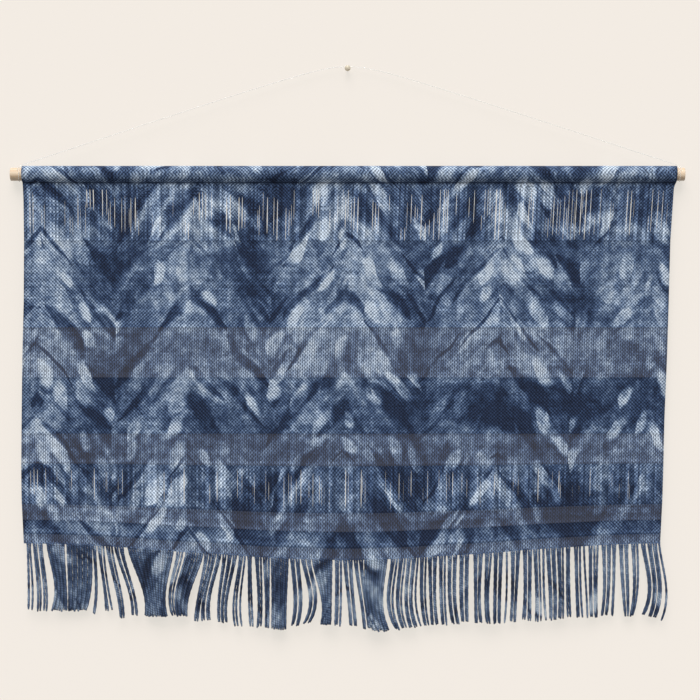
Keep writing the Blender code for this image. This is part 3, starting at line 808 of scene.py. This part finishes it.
def colour_dyed(tree, shader, place, light, greyness):
    """Gives a shader the shade of indigo that the dye left at a place on the flat cloth."""
    depth = node(tree, "ShaderNodeGroup", {"Place": place}, node_tree=dye).outputs["Depth"]
    values = {"Depth": depth, "Light": light, "Greyness": greyness}
    shade = node(tree, "ShaderNodeGroup", values, node_tree=indigo).outputs["Colour"]
    tree.links.new(shade, shader.inputs["Base Color"])


# The weave: each thread over one and under one, a little uneven, with the odd thicker thread
THREAD_PITCH = 1.75
RIB_PITCH = 2.3

weave, weave_in, weave_out = effect(
    "plain_weave",
    {"Place": "Vector", "Ribs": "Float", "Open": "Float"},
    {"Height": "Float", "Light": "Float"},
)
threads_at = node(weave, "ShaderNodeSeparateXYZ", {0: shifted(weave, weave_in.outputs["Place"], 16, 0.5)})
warp_turn = calc(weave, "MULTIPLY", threads_at.outputs[0], math.pi / THREAD_PITCH)
weft_turn = calc(weave, "MULTIPLY", threads_at.outputs[1], math.pi / THREAD_PITCH)
checks = calc(weave, "MULTIPLY", calc(weave, "SINE", warp_turn), calc(weave, "SINE", weft_turn))
lean_way = ramp(weave, noise(weave, weave_in.outputs["Place"], 90), 0.4, 0.6, -1.0, 1.0)
leaning = calc(weave, "SINE", calc(weave, "ADD", warp_turn, calc(weave, "MULTIPLY", weft_turn, lean_way)))
ribs = calc(weave, "SINE", calc(weave, "MULTIPLY", threads_at.outputs[0], math.tau / RIB_PITCH))
woven = calc(weave, "ADD", calc(weave, "MULTIPLY", checks, 0.75), calc(weave, "MULTIPLY", leaning, 0.3))
ribbed = calc(weave, "ADD", calc(weave, "MULTIPLY", ribs, 0.35), calc(weave, "MULTIPLY", checks, 0.65))
pattern = node(weave, "ShaderNodeMix", {0: weave_in.outputs["Ribs"], 2: woven, 3: ribbed}).outputs[0]
warp_number = calc(weave, "FLOOR", calc(weave, "DIVIDE", threads_at.outputs[0], THREAD_PITCH))
weft_number = calc(weave, "FLOOR", calc(weave, "DIVIDE", threads_at.outputs[1], THREAD_PITCH))
warp_shade = node(weave, "ShaderNodeTexWhiteNoise", {"W": warp_number}, noise_dimensions="1D").outputs[0]
weft_shade = node(weave, "ShaderNodeTexWhiteNoise", {"W": weft_number}, noise_dimensions="1D").outputs[0]
grain = noise(weave, weave_in.outputs["Place"], 1.5, 2, 0.7)
# Painted light and shade: the thread tops lighter, the gaps between threads darker
painted_thread_light = ramp(weave, pattern, -0.45, 0.45, 0.28, 1.72)
light = calc(weave, "ADD", painted_thread_light, calc(weave, "MULTIPLY", calc(weave, "SUBTRACT", grain, 0.5), 1.4))
slubs = noise(weave, joined(weave, calc(weave, "DIVIDE", threads_at.outputs[0], 14.0), weft_number), 1.0, 1)
weft_amount = ramp(weave, slubs, 0.45, 0.7, 0.1, 0.9)
light = calc(weave, "MULTIPLY_ADD", calc(weave, "SUBTRACT", weft_shade, 0.5), weft_amount, light)
warp_amount = ramp(weave, weave_in.outputs["Open"], 0, 1, 0.30, 1.10)
warp_light = calc(weave, "MULTIPLY", calc(weave, "SUBTRACT", warp_shade, 0.5), warp_amount)
light = calc(weave, "ADD", light, warp_light)
weave.links.new(calc(weave, "MAXIMUM", light, 0.15), weave_out.inputs["Light"])
weave.links.new(calc(weave, "MULTIPLY", calc(weave, "ADD", pattern, 1.0), 0.5), weave_out.inputs["Height"])


def band_chart(tree, value, edges, reach):
    """1 between each pair of edges and 0 elsewhere, from a stepped ramp over 0 to reach."""
    chart = tree.nodes.new("ShaderNodeValToRGB")
    chart.color_ramp.interpolation = "CONSTANT"
    tree.links.new(calc(tree, "DIVIDE", value, reach), chart.inputs[0])
    marks = [(0.0, 0.0)] + [(edge / reach, float(i % 2 == 0)) for i, edge in enumerate(edges)]
    while len(chart.color_ramp.elements) < len(marks):
        chart.color_ramp.elements.new(0.5)
    for element, (position, level) in zip(chart.color_ramp.elements, marks):
        element.position = position
        element.color = (level, level, level, 1)
    return chart.outputs[0]


BAND_REACH = 400.0
CREASE_AT = 7.6  # the crease just above the seam, where painted shade darkens the cloth
CREASE_PAINTED_SHADE = 0.45
SELVEDGE_WIDTH = 2.5
SELVEDGE_SHADE = 0.55
PICK_SHADOW = (-0.9, 0.3)  # where a thick pick is darker, from its middle
PICK_SHADE = 0.82
SLIT_SIDE_LIGHT = 1.15  # the pale fuzz at a slit's sides

cotton, cotton_tree, cotton_shader = finish_of(
    "indigo_cotton", Roughness=0.9, Sheen_Weight=0.06, Sheen_Roughness=0.5, Specular_IOR_Level=0.1
)
cloth_mm = cloth_place(cotton_tree)
cloth_xy = node(cotton_tree, "ShaderNodeSeparateXYZ", {0: cloth_mm})
ribs_here = band_chart(cotton_tree, cloth_xy.outputs[1], RIBBED_BANDS, BAND_REACH)
open_here = band_chart(cotton_tree, cloth_xy.outputs[1], OPEN_BANDS, BAND_REACH)
pick_sides = [pick + side for pick in PICKS for side in PICK_SHADOW]
picks_here = band_chart(cotton_tree, cloth_xy.outputs[1], pick_sides, BAND_REACH)
weave_values = {"Place": cloth_mm, "Ribs": ribs_here, "Open": open_here}
cloth_weave = node(cotton_tree, "ShaderNodeGroup", weave_values, node_tree=weave)
slit_side = node(cotton_tree, "ShaderNodeAttribute", attribute_name="slit_side").outputs["Fac"]
from_left = cloth_xy.outputs[0]
from_right = calc(cotton_tree, "SUBTRACT", CLOTH_WIDTH / MM, from_left)
off_seam = calc(cotton_tree, "ABSOLUTE", calc(cotton_tree, "SUBTRACT", cloth_xy.outputs[1], CREASE_AT))
cloth_light = cloth_weave.outputs["Light"]
# The weave's light times these marks: paler slit sides, darker selvedges, a darker band at each thick pick,
# and painted shade in the crease above the seam
for shade in (
    ramp(cotton_tree, slit_side, 0.45, 1.0, 1.0, SLIT_SIDE_LIGHT),
    ramp(cotton_tree, from_left, 0.0, SELVEDGE_WIDTH, SELVEDGE_SHADE, 1.0),
    ramp(cotton_tree, from_right, 0.0, SELVEDGE_WIDTH, SELVEDGE_SHADE, 1.0),
    ramp(cotton_tree, picks_here, 0, 1, 1.0, PICK_SHADE),
    ramp(cotton_tree, off_seam, 0.5, 1.6, CREASE_PAINTED_SHADE, 1.0),
):
    cloth_light = calc(cotton_tree, "MULTIPLY", cloth_light, shade)
colour_dyed(cotton_tree, cotton_shader, cloth_mm, cloth_light, ribs_here)
bump(cotton_tree, cotton_shader, 0.6, 0.25 * MM, cloth_weave.outputs["Height"])
cloth_data.materials.append(cotton)
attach(cloth, "root")
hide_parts("cloth_panel")


# The seam: one row of hand stitches in dark thread holds the turned-over edge down. Short stitches show on
# the front and longer ones on the back.
STITCH_PITCH = 6.0 * MM
STITCH_RADIUS = 0.28 * MM
STITCH_SUNK = 0.1 * MM
STITCH_END = 6 * MM  # from the side edges
STITCH_ASIDE = 0.3  # how far a stitch may be out of its place, in mm
STITCH_TILT = 0.1  # in radians
Run = namedtuple("Run", "length out")
FRONT_RUN = Run(2.2 * MM, -(LAYER_SPACING / 2 + CLOTH_THICKNESS / 2 - STITCH_SUNK))
BACK_RUN = Run(3.2 * MM, LAYER_SPACING / 2 + CLOTH_THICKNESS / 2 - STITCH_SUNK)

bpy.ops.object.select_all(action="DESELECT")
bpy.ops.mesh.primitive_uv_sphere_add(segments=8, ring_count=6, radius=1, rotation=(0, math.radians(90), 0))
one_stitch = bpy.context.object
bpy.ops.object.transform_apply(location=False, rotation=True, scale=False)
one_stitch.data.shade_smooth()

seam_left, seam_right = side_edges(SEAM_DROP)
stitch_count = int((seam_right - seam_left - 2 * STITCH_END) / STITCH_PITCH)
stitch_chance = random.Random(5)
copies = []
for i in range(stitch_count + 1):
    for run, half_step in ((FRONT_RUN, 0.0), (BACK_RUN, STITCH_PITCH / 2)):
        aside = stitch_chance.uniform(-STITCH_ASIDE, STITCH_ASIDE) * MM
        x = seam_left + STITCH_END + i * STITCH_PITCH + half_step + aside
        copy = one_stitch.copy()
        copy.data = one_stitch.data.copy()
        copy.scale = (run.length / 2, STITCH_RADIUS, STITCH_RADIUS)
        copy.rotation_euler = (0, stitch_chance.uniform(-STITCH_TILT, STITCH_TILT), 0)
        copy.location = (x, ROD_Y + run.out, ROD_Z - SEAM_DROP)
        bpy.context.scene.collection.objects.link(copy)
        copies.append(copy)
bpy.data.objects.remove(one_stitch)
pick_only(*copies)
bpy.ops.object.join()
stitches = bpy.context.object
stitches.name = "seam_stitches"
bpy.ops.object.transform_apply(location=True, rotation=True, scale=True)

thread, thread_tree, thread_shader = finish_of("dark_thread", Roughness=0.7, Specular_IOR_Level=0.3)
thread_at = node(thread_tree, "ShaderNodeTexCoord")
twist = node(
    thread_tree,
    "ShaderNodeTexWave",
    {"Vector": thread_at.outputs["Object"], "Scale": 420.0, "Distortion": 1.0},
    bands_direction="DIAGONAL",
)
thread_colour = blend(thread_tree, twist.outputs["Fac"], (0.014, 0.022, 0.045, 1), (0.045, 0.066, 0.115, 1))
thread_tree.links.new(thread_colour, thread_shader.inputs["Base Color"])
stitches.data.materials.append(thread)
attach(stitches, "root")


# The fringe: the warp threads left unwoven, each a soft two-ply yarn that was dyed with the cloth. They hang
# in loose locks, and some sweep aside and cross in front of each other.
YARN_PITCH = 2.6 * MM
YARN_RADIUS = 1.13 * MM
YARN_LAYER = 0.85 * MM  # neighbours hang this far in front of and behind the fringe's middle
LOCK_CURL = 1.5 * MM  # how far a lock's loose ends may turn out of the cloth's plane
UNEVEN_ENDS = 1.0 * MM  # how much longer or shorter a yarn may be than its lock
BELLY_AT = 0.55  # the share of a yarn's length where its belly is measured
EARLY_POWER = 1.5  # how the sideways shift grows down a yarn: one term for the belly
LATE_POWER = 3  # and one for the end
LAYERS_PARTED = 0.25  # the share of its length where it has reached its layer
YARN_RISE = 1.5 * MM  # how far a yarn's top reaches up into the cloth
YARN_STEPS = 34
YARN_SIDES = 8
YARN_WIDTHS = (0.9, 1.08)  # the shares of its radius that a yarn may have
RING_WIDTHS = (0.97, 1.03)  # and along it, ring by ring
END_FROM = 0.94  # the share of its length where the cut end starts to taper
END_TAPER = 0.35
PLY_PITCH = 14 * MM  # the length of one turn of its two plies
PLY_SHARE = 0.13  # how far the plies stand out, as a share of its radius
STRIPE_PITCH = 2.4 * MM  # of the finer twist in each ply
PAIR_PULL = 0.45 * MM  # how far each yarn moves towards its neighbour, two by two
PAIRED_BY = 0.15  # the share of its length where it has moved there
DENSE_LOCK = 6  # a lock of more yarns than this stays evenly spread, its yarns touching
DENSE_SWELL = 1.16
Lock = namedtuple("Lock", "yarns root belly lean pinch gather reach")
LOCKS = [
    Lock(2, 4.9, 1.7, 1.5, 1.6, 1.6, 435.7),
    Lock(4, 13.7, 4.0, 4.6, 1.15, 1.2, 437.1),
    Lock(7, 31.5, 4.8, 4.0, 0.65, 0.93, 436.7),
    Lock(10, 55.5, 0.7, -2.0, 0.95, 0.73, 436.4),
    Lock(2, 70.5, 2.0, -0.5, 0.8, 0.8, 439.7),
    Lock(3, 77.0, 4.0, 8.0, 0.8, 1.3, 436.7),
    Lock(3, 85.5, 8.0, 13.0, 0.9, 0.7, 443.7),
    Lock(4, 95.0, 10.5, 16.0, 0.75, 0.75, 440.7),
    Lock(18, 127.0, 3.0, 5.5, 0.55, 0.5, 441.7),
    Lock(3, 156.5, -8.0, -6.5, 0.8, 0.6, 440.7),
    Lock(7, 171.0, -10.5, -12.4, 0.85, 0.55, 441.1),
    Lock(3, 184.0, -7.0, -12.0, 0.7, 0.6, 447.1),
    Lock(4, 192.9, -8.5, -10.5, 0.9, 1.1, 446.7),
    Lock(6, 205.9, -6.0, -7.0, 0.75, 0.7, 448.5),
    Lock(3, 218.6, -5.0, -4.0, 1.3, 1.4, 451.2),
    Lock(2, 225.9, 0.5, 2.0, 1.3, 1.3, 452.2),
    Lock(3, 234.5, 1.5, 0.5, 0.7, 0.8, 452.7),
    Lock(3, 242.5, 0.8, 0.5, 0.6, 0.6, 453.1),
    Lock(7, 256.0, -0.5, -1.0, 0.85, 0.85, 454.7),
    Lock(4, 271.1, 3.0, 0.0, 1.0, 0.9, 450.7),
    Lock(4, 282.0, 7.0, 0.8, 0.9, 0.9, 448.7),
    Lock(8, 298.3, 4.0, 3.5, 0.5, 0.5, 450.7),
    Lock(3, 314.5, 0.0, -1.0, 1.0, 1.0, 450.7),
    Lock(4, 324.0, 2.7, 5.5, 0.8, 0.9, 451.4),
    Lock(4, 334.5, 4.5, 8.5, 0.8, 0.9, 453.2),
    Lock(9, 352.0, -1.5, 5.0, 0.72, 0.74, 456.2),
    Lock(3, 370.5, -4.5, 3.0, 1.0, 0.8, 454.5),
    Lock(3, 378.5, -3.5, 2.0, 0.9, 0.8, 453.5),
    Lock(4, 387.6, -3.0, 2.0, 0.9, 1.0, 452.5),
    Lock(1, 394.1, -2.5, 3.0, 1.0, 1.0, 451.0),
    Lock(3, 399.5, -0.5, 3.3, 0.9, 0.85, 450.7),
    Lock(4, 408.7, 0.2, 2.3, 0.75, 0.9, 451.0),
    Lock(3, 418.5, 0.0, 2.0, 0.9, 0.9, 450.7),
    Lock(4, 428.7, -0.5, 3.3, 0.9, 0.97, 449.2),
    Lock(4, 440.5, -0.5, 0.6, 0.98, 0.8, 447.7),
    Lock(4, 454.1, -0.7, 0.5, 0.7, 0.9, 447.7),
    Lock(3, 464.3, -1.8, -0.3, 0.65, 0.75, 448.5),
    Lock(4, 474.3, -1.0, -1.3, 0.9, 0.85, 448.7),
    Lock(1, 482.7, -0.2, -2.4, 1.0, 1.0, 447.7),
    Lock(4, 491.5, -1.0, -2.5, 0.7, 0.7, 447.1),
    Lock(4, 503.5, 0.0, -1.0, 0.85, 1.1, 445.7),
    Lock(3, 512.7, 1.4, 1.4, 0.9, 1.1, 446.4),
    Lock(1, 519.5, 0.3, 2.5, 1.0, 1.0, 445.7),
    Lock(4, 526.7, 1.8, 2.0, 0.9, 0.8, 445.0),
    Lock(3, 536.1, 1.1, 0.8, 0.8, 0.9, 443.7),
    Lock(2, 544.0, 0.0, 1.0, 1.2, 1.4, 442.9),
    Lock(3, 553.3, 0.7, 2.2, 0.9, 1.1, 442.9),
    Lock(1, 560.0, 2.0, 3.5, 1.0, 1.0, 442.7),
    Lock(3, 568.0, 0.0, 1.0, 1.0, 1.0, 442.5),
    Lock(1, 573.9, -1.0, -0.7, 1.0, 1.0, 442.5),
    Lock(4, 582.7, 0.3, -2.3, 0.8, 0.8, 441.5),
    Lock(2, 590.5, -0.5, -2.2, 0.7, 0.7, 441.5),
    Lock(4, 600.0, 1.5, 3.0, 0.9, 0.5, 442.0),
    Lock(3, 611.0, 1.0, -3.6, 0.8, 0.5, 442.2),
    Lock(2, 619.5, 6.4, 0.0, 0.9, 0.8, 441.1),
    Lock(4, 628.5, 5.0, 0.0, 1.0, 0.9, 442.7),
    Lock(1, 635.4, 7.0, 2.2, 1.0, 1.0, 446.4),
]
FRINGE_SEED = 7
YARN_GREYNESS = 0.15


def yarn_line(lock, number, layer, curl, extra):
    """The points down one yarn, and where its root is across the cloth."""
    hem_left, hem_right = side_edges(HEM_DROP)
    spot = (number + 0.5 - lock.yarns / 2) * YARN_PITCH
    root_x = hem_left + lock.root * MM + spot
    across = (root_x - hem_left) / (hem_right - hem_left)
    halfway = lock.belly * MM + spot * (lock.pinch - 1)
    end = lock.lean * MM + spot * (lock.gather - 1)
    alone = lock.yarns > DENSE_LOCK or (number % 2 == 0 and number == lock.yarns - 1)
    pull = 0.0 if alone else PAIR_PULL * (1 - 2 * (number % 2))
    early = (halfway - end * BELLY_AT**LATE_POWER) / (BELLY_AT**EARLY_POWER - BELLY_AT**LATE_POWER)
    late = end - early
    top = ROD_Z - sagged(HEM_DROP, across) + YARN_RISE
    tip = ROD_Z - lock.reach * MM - extra
    line = []
    for step in range(YARN_STEPS + 1):
        t = step / YARN_STEPS
        x = root_x + early * t**EARLY_POWER + late * t**LATE_POWER + pull * smooth_step(t / PAIRED_BY)
        y = panel_y(HEM_DROP, across) + layer * smooth_step(t / LAYERS_PARTED) + curl * t * t
        line.append(Vector((x, y, top + (tip - top) * t)))
    return line, across


yarn_points = []
yarn_faces = []
yarn_uvs = []
ply_corners = []
fringe_chance = random.Random(FRINGE_SEED)
yarn_chance = random.Random(23)
yarn_number = 0


def add_yarn(line, across, swell):
    """A two-lobed tube that twists along the line, a little uneven, tapering at its cut end."""
    start = len(yarn_points)
    radius = swell * YARN_RADIUS * yarn_chance.uniform(*YARN_WIDTHS)
    turned = yarn_chance.uniform(0, math.tau)
    ply_start = yarn_chance.uniform(0, PLY_PITCH)
    run = 0.0
    runs = []
    for step, place in enumerate(line):
        if step:
            run += (place - line[step - 1]).length
        runs.append(ply_start + run)
        ahead = (line[min(step + 1, YARN_STEPS)] - line[max(step - 1, 0)]).normalized()
        side_way = Vector((0, 1, 0)).cross(ahead).normalized()
        out_way = ahead.cross(side_way)
        t = step / YARN_STEPS
        end_share = smooth_step((t - END_FROM) / (1 - END_FROM))
        thickness = radius * (1 - END_TAPER * end_share) * yarn_chance.uniform(*RING_WIDTHS)
        for side in range(YARN_SIDES):
            angle = math.tau * side / YARN_SIDES
            lobe = 1 + PLY_SHARE * math.cos(2 * (angle - turned - math.tau * run / PLY_PITCH))
            yarn_points.append(
                place + thickness * lobe * (side_way * math.cos(angle) + out_way * math.sin(angle))
            )
            yarn_uvs.append((across * CLOTH_WIDTH, HEM_DROP + run))
    for ring in range(YARN_STEPS):
        for side in range(YARN_SIDES):
            a = start + ring * YARN_SIDES + side
            b = start + ring * YARN_SIDES + (side + 1) % YARN_SIDES
            yarn_faces.append((a, b, b + YARN_SIDES, a + YARN_SIDES))
            here, there = side / YARN_SIDES, (side + 1) / YARN_SIDES
            upper, lower = runs[ring], runs[ring + 1]
            ply_corners.extend([(here, upper), (there, upper), (there, lower), (here, lower)])
    last_ring = start + YARN_STEPS * YARN_SIDES
    yarn_faces.append(tuple(start + side for side in reversed(range(YARN_SIDES))))
    yarn_faces.append(tuple(last_ring + side for side in range(YARN_SIDES)))
    ply_corners.extend([(0.25, runs[0])] * YARN_SIDES + [(0.25, runs[-1])] * YARN_SIDES)


for lock in LOCKS:
    curl = fringe_chance.uniform(-LOCK_CURL, LOCK_CURL)
    for number in range(lock.yarns):
        layer = YARN_LAYER if yarn_number % 2 else -YARN_LAYER
        extra = fringe_chance.uniform(-UNEVEN_ENDS, UNEVEN_ENDS)
        swell = DENSE_SWELL if lock.yarns > DENSE_LOCK else 1.0
        add_yarn(*yarn_line(lock, number, layer, curl, extra), swell)
        yarn_number += 1
fringe_data = bpy.data.meshes.new("fringe_yarns")
fringe_data.from_pydata(yarn_points, [], yarn_faces)
fringe_data.uv_layers.new(name="cloth")
fringe_data.uv_layers.new(name="ply")
fringe_map = fringe_data.uv_layers["cloth"].data
ply_map = fringe_data.uv_layers["ply"].data
for loop in fringe_data.loops:
    fringe_map[loop.index].uv = yarn_uvs[loop.vertex_index]
    ply_map[loop.index].uv = ply_corners[loop.index]
fringe_data.shade_smooth()
fringe = bpy.data.objects.new("fringe_yarns", fringe_data)
bpy.context.scene.collection.objects.link(fringe)
pick_only(fringe)
bpy.ops.object.mode_set(mode="EDIT")
bpy.ops.mesh.select_all(action="SELECT")
bpy.ops.mesh.normals_make_consistent(inside=False)
bpy.ops.object.mode_set(mode="OBJECT")

yarn, yarn_tree, yarn_shader = finish_of(
    "indigo_yarn", Roughness=0.88, Sheen_Weight=0.06, Sheen_Roughness=0.5, Specular_IOR_Level=0.1
)
yarn_mm = cloth_place(yarn_tree)
ply_uv = node(yarn_tree, "ShaderNodeUVMap", uv_map="ply")
ply_xy = node(yarn_tree, "ShaderNodeSeparateXYZ", {0: ply_uv.outputs[0]})
ply_turn = calc(
    yarn_tree,
    "ADD",
    calc(yarn_tree, "MULTIPLY", ply_xy.outputs[0], 2 * math.tau),
    calc(yarn_tree, "MULTIPLY", ply_xy.outputs[1], math.tau / STRIPE_PITCH),
)
plies = calc(yarn_tree, "ADD", calc(yarn_tree, "MULTIPLY", calc(yarn_tree, "SINE", ply_turn), 0.5), 0.5)
fuzz = noise(yarn_tree, yarn_mm, 2.2, 3, 0.7)
fuzz_light = calc(yarn_tree, "MULTIPLY", calc(yarn_tree, "SUBTRACT", fuzz, 0.5), 0.5)
# Painted light and shade: the yarn's twist stripes, lighter on their crests and darker in their grooves
yarn_light = calc(yarn_tree, "ADD", ramp(yarn_tree, plies, 0, 1, 0.56, 1.30), fuzz_light)
# Painted shade: the two sides of a yarn, where its neighbours touch it, are a little darker
side_on = calc(yarn_tree, "COSINE", calc(yarn_tree, "MULTIPLY", ply_xy.outputs[0], math.tau))
sides_painted_shade = ramp(yarn_tree, calc(yarn_tree, "ABSOLUTE", side_on), 0.5, 1.0, 1.0, 0.5)
yarn_light = calc(yarn_tree, "MULTIPLY", yarn_light, sides_painted_shade)
colour_dyed(yarn_tree, yarn_shader, yarn_mm, yarn_light, YARN_GREYNESS)
bump(yarn_tree, yarn_shader, 0.7, 0.2 * MM, plies)
fringe_data.materials.append(yarn)
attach(fringe, "root")
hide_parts("warp_fringe")


# The rod: a sanded softwood dowel, sawn off at both ends and left bare. The CAD solid has its shape, so it
# gets its grain here.
wood, wood_tree, wood_shader = finish_of("pale_wood", Roughness=0.55, Specular_IOR_Level=0.35)
wood_at = node(wood_tree, "ShaderNodeTexCoord")


def drawn_out(scale, **values):
    """Noise in the wood, stretched along the rod: scale is how finely it changes along X, Y and Z."""
    way = node(wood_tree, "ShaderNodeMapping", {"Vector": wood_at.outputs["Object"], "Scale": scale})
    made = node(wood_tree, "ShaderNodeTexNoise", {"Vector": way.outputs[0], "Scale": 1.0, **values})
    return made.outputs[0]


grain_lines = drawn_out((18, 900, 900), Detail=4, Roughness=0.6)
rings = drawn_out((2, 260, 260), Detail=2, Distortion=0.6)
wood_tone = calc(wood_tree, "MULTIPLY_ADD", grain_lines, 0.55, calc(wood_tree, "MULTIPLY", rings, 0.45))
wood_colours = wood_tree.nodes.new("ShaderNodeValToRGB")
wood_colours.color_ramp.elements[0].position = 0.36
wood_colours.color_ramp.elements[0].color = (0.62, 0.43, 0.27, 1)
wood_colours.color_ramp.elements[1].position = 0.62
wood_colours.color_ramp.elements[1].color = (0.86, 0.73, 0.57, 1)
wood_tree.links.new(wood_tone, wood_colours.inputs[0])
wood_tree.links.new(wood_colours.outputs[0], wood_shader.inputs["Base Color"])
bump(wood_tree, wood_shader, 0.4, 0.08 * MM, grain_lines)
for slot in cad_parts["wooden_rod"].material_slots:
    slot.material = wood


# The nail: a small round-headed brass nail, dulled by handling and driven level into the wall. The cord
# passes over its shank, behind the head. The CAD solid has its shape, so it gets its finish here.
brass, brass_tree, brass_shader = finish_of("pale_brass", Metallic=1.0, Roughness=0.6)
brass_at = node(brass_tree, "ShaderNodeTexCoord")
dulling = node(
    brass_tree, "ShaderNodeTexNoise", {"Vector": brass_at.outputs["Object"], "Scale": 600, "Detail": 3}
)
brass_colour = blend(brass_tree, dulling.outputs[0], (0.76, 0.71, 0.61, 1), (0.66, 0.62, 0.53, 1))
brass_tree.links.new(brass_colour, brass_shader.inputs["Base Color"])
brass_rough = node(brass_tree, "ShaderNodeMapRange", {0: dulling.outputs[0], 1: 0.3, 2: 0.7, 3: 0.75, 4: 0.9})
brass_tree.links.new(brass_rough.outputs[0], brass_shader.inputs["Roughness"])
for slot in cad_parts["wall_nail"].material_slots:
    slot.material = brass
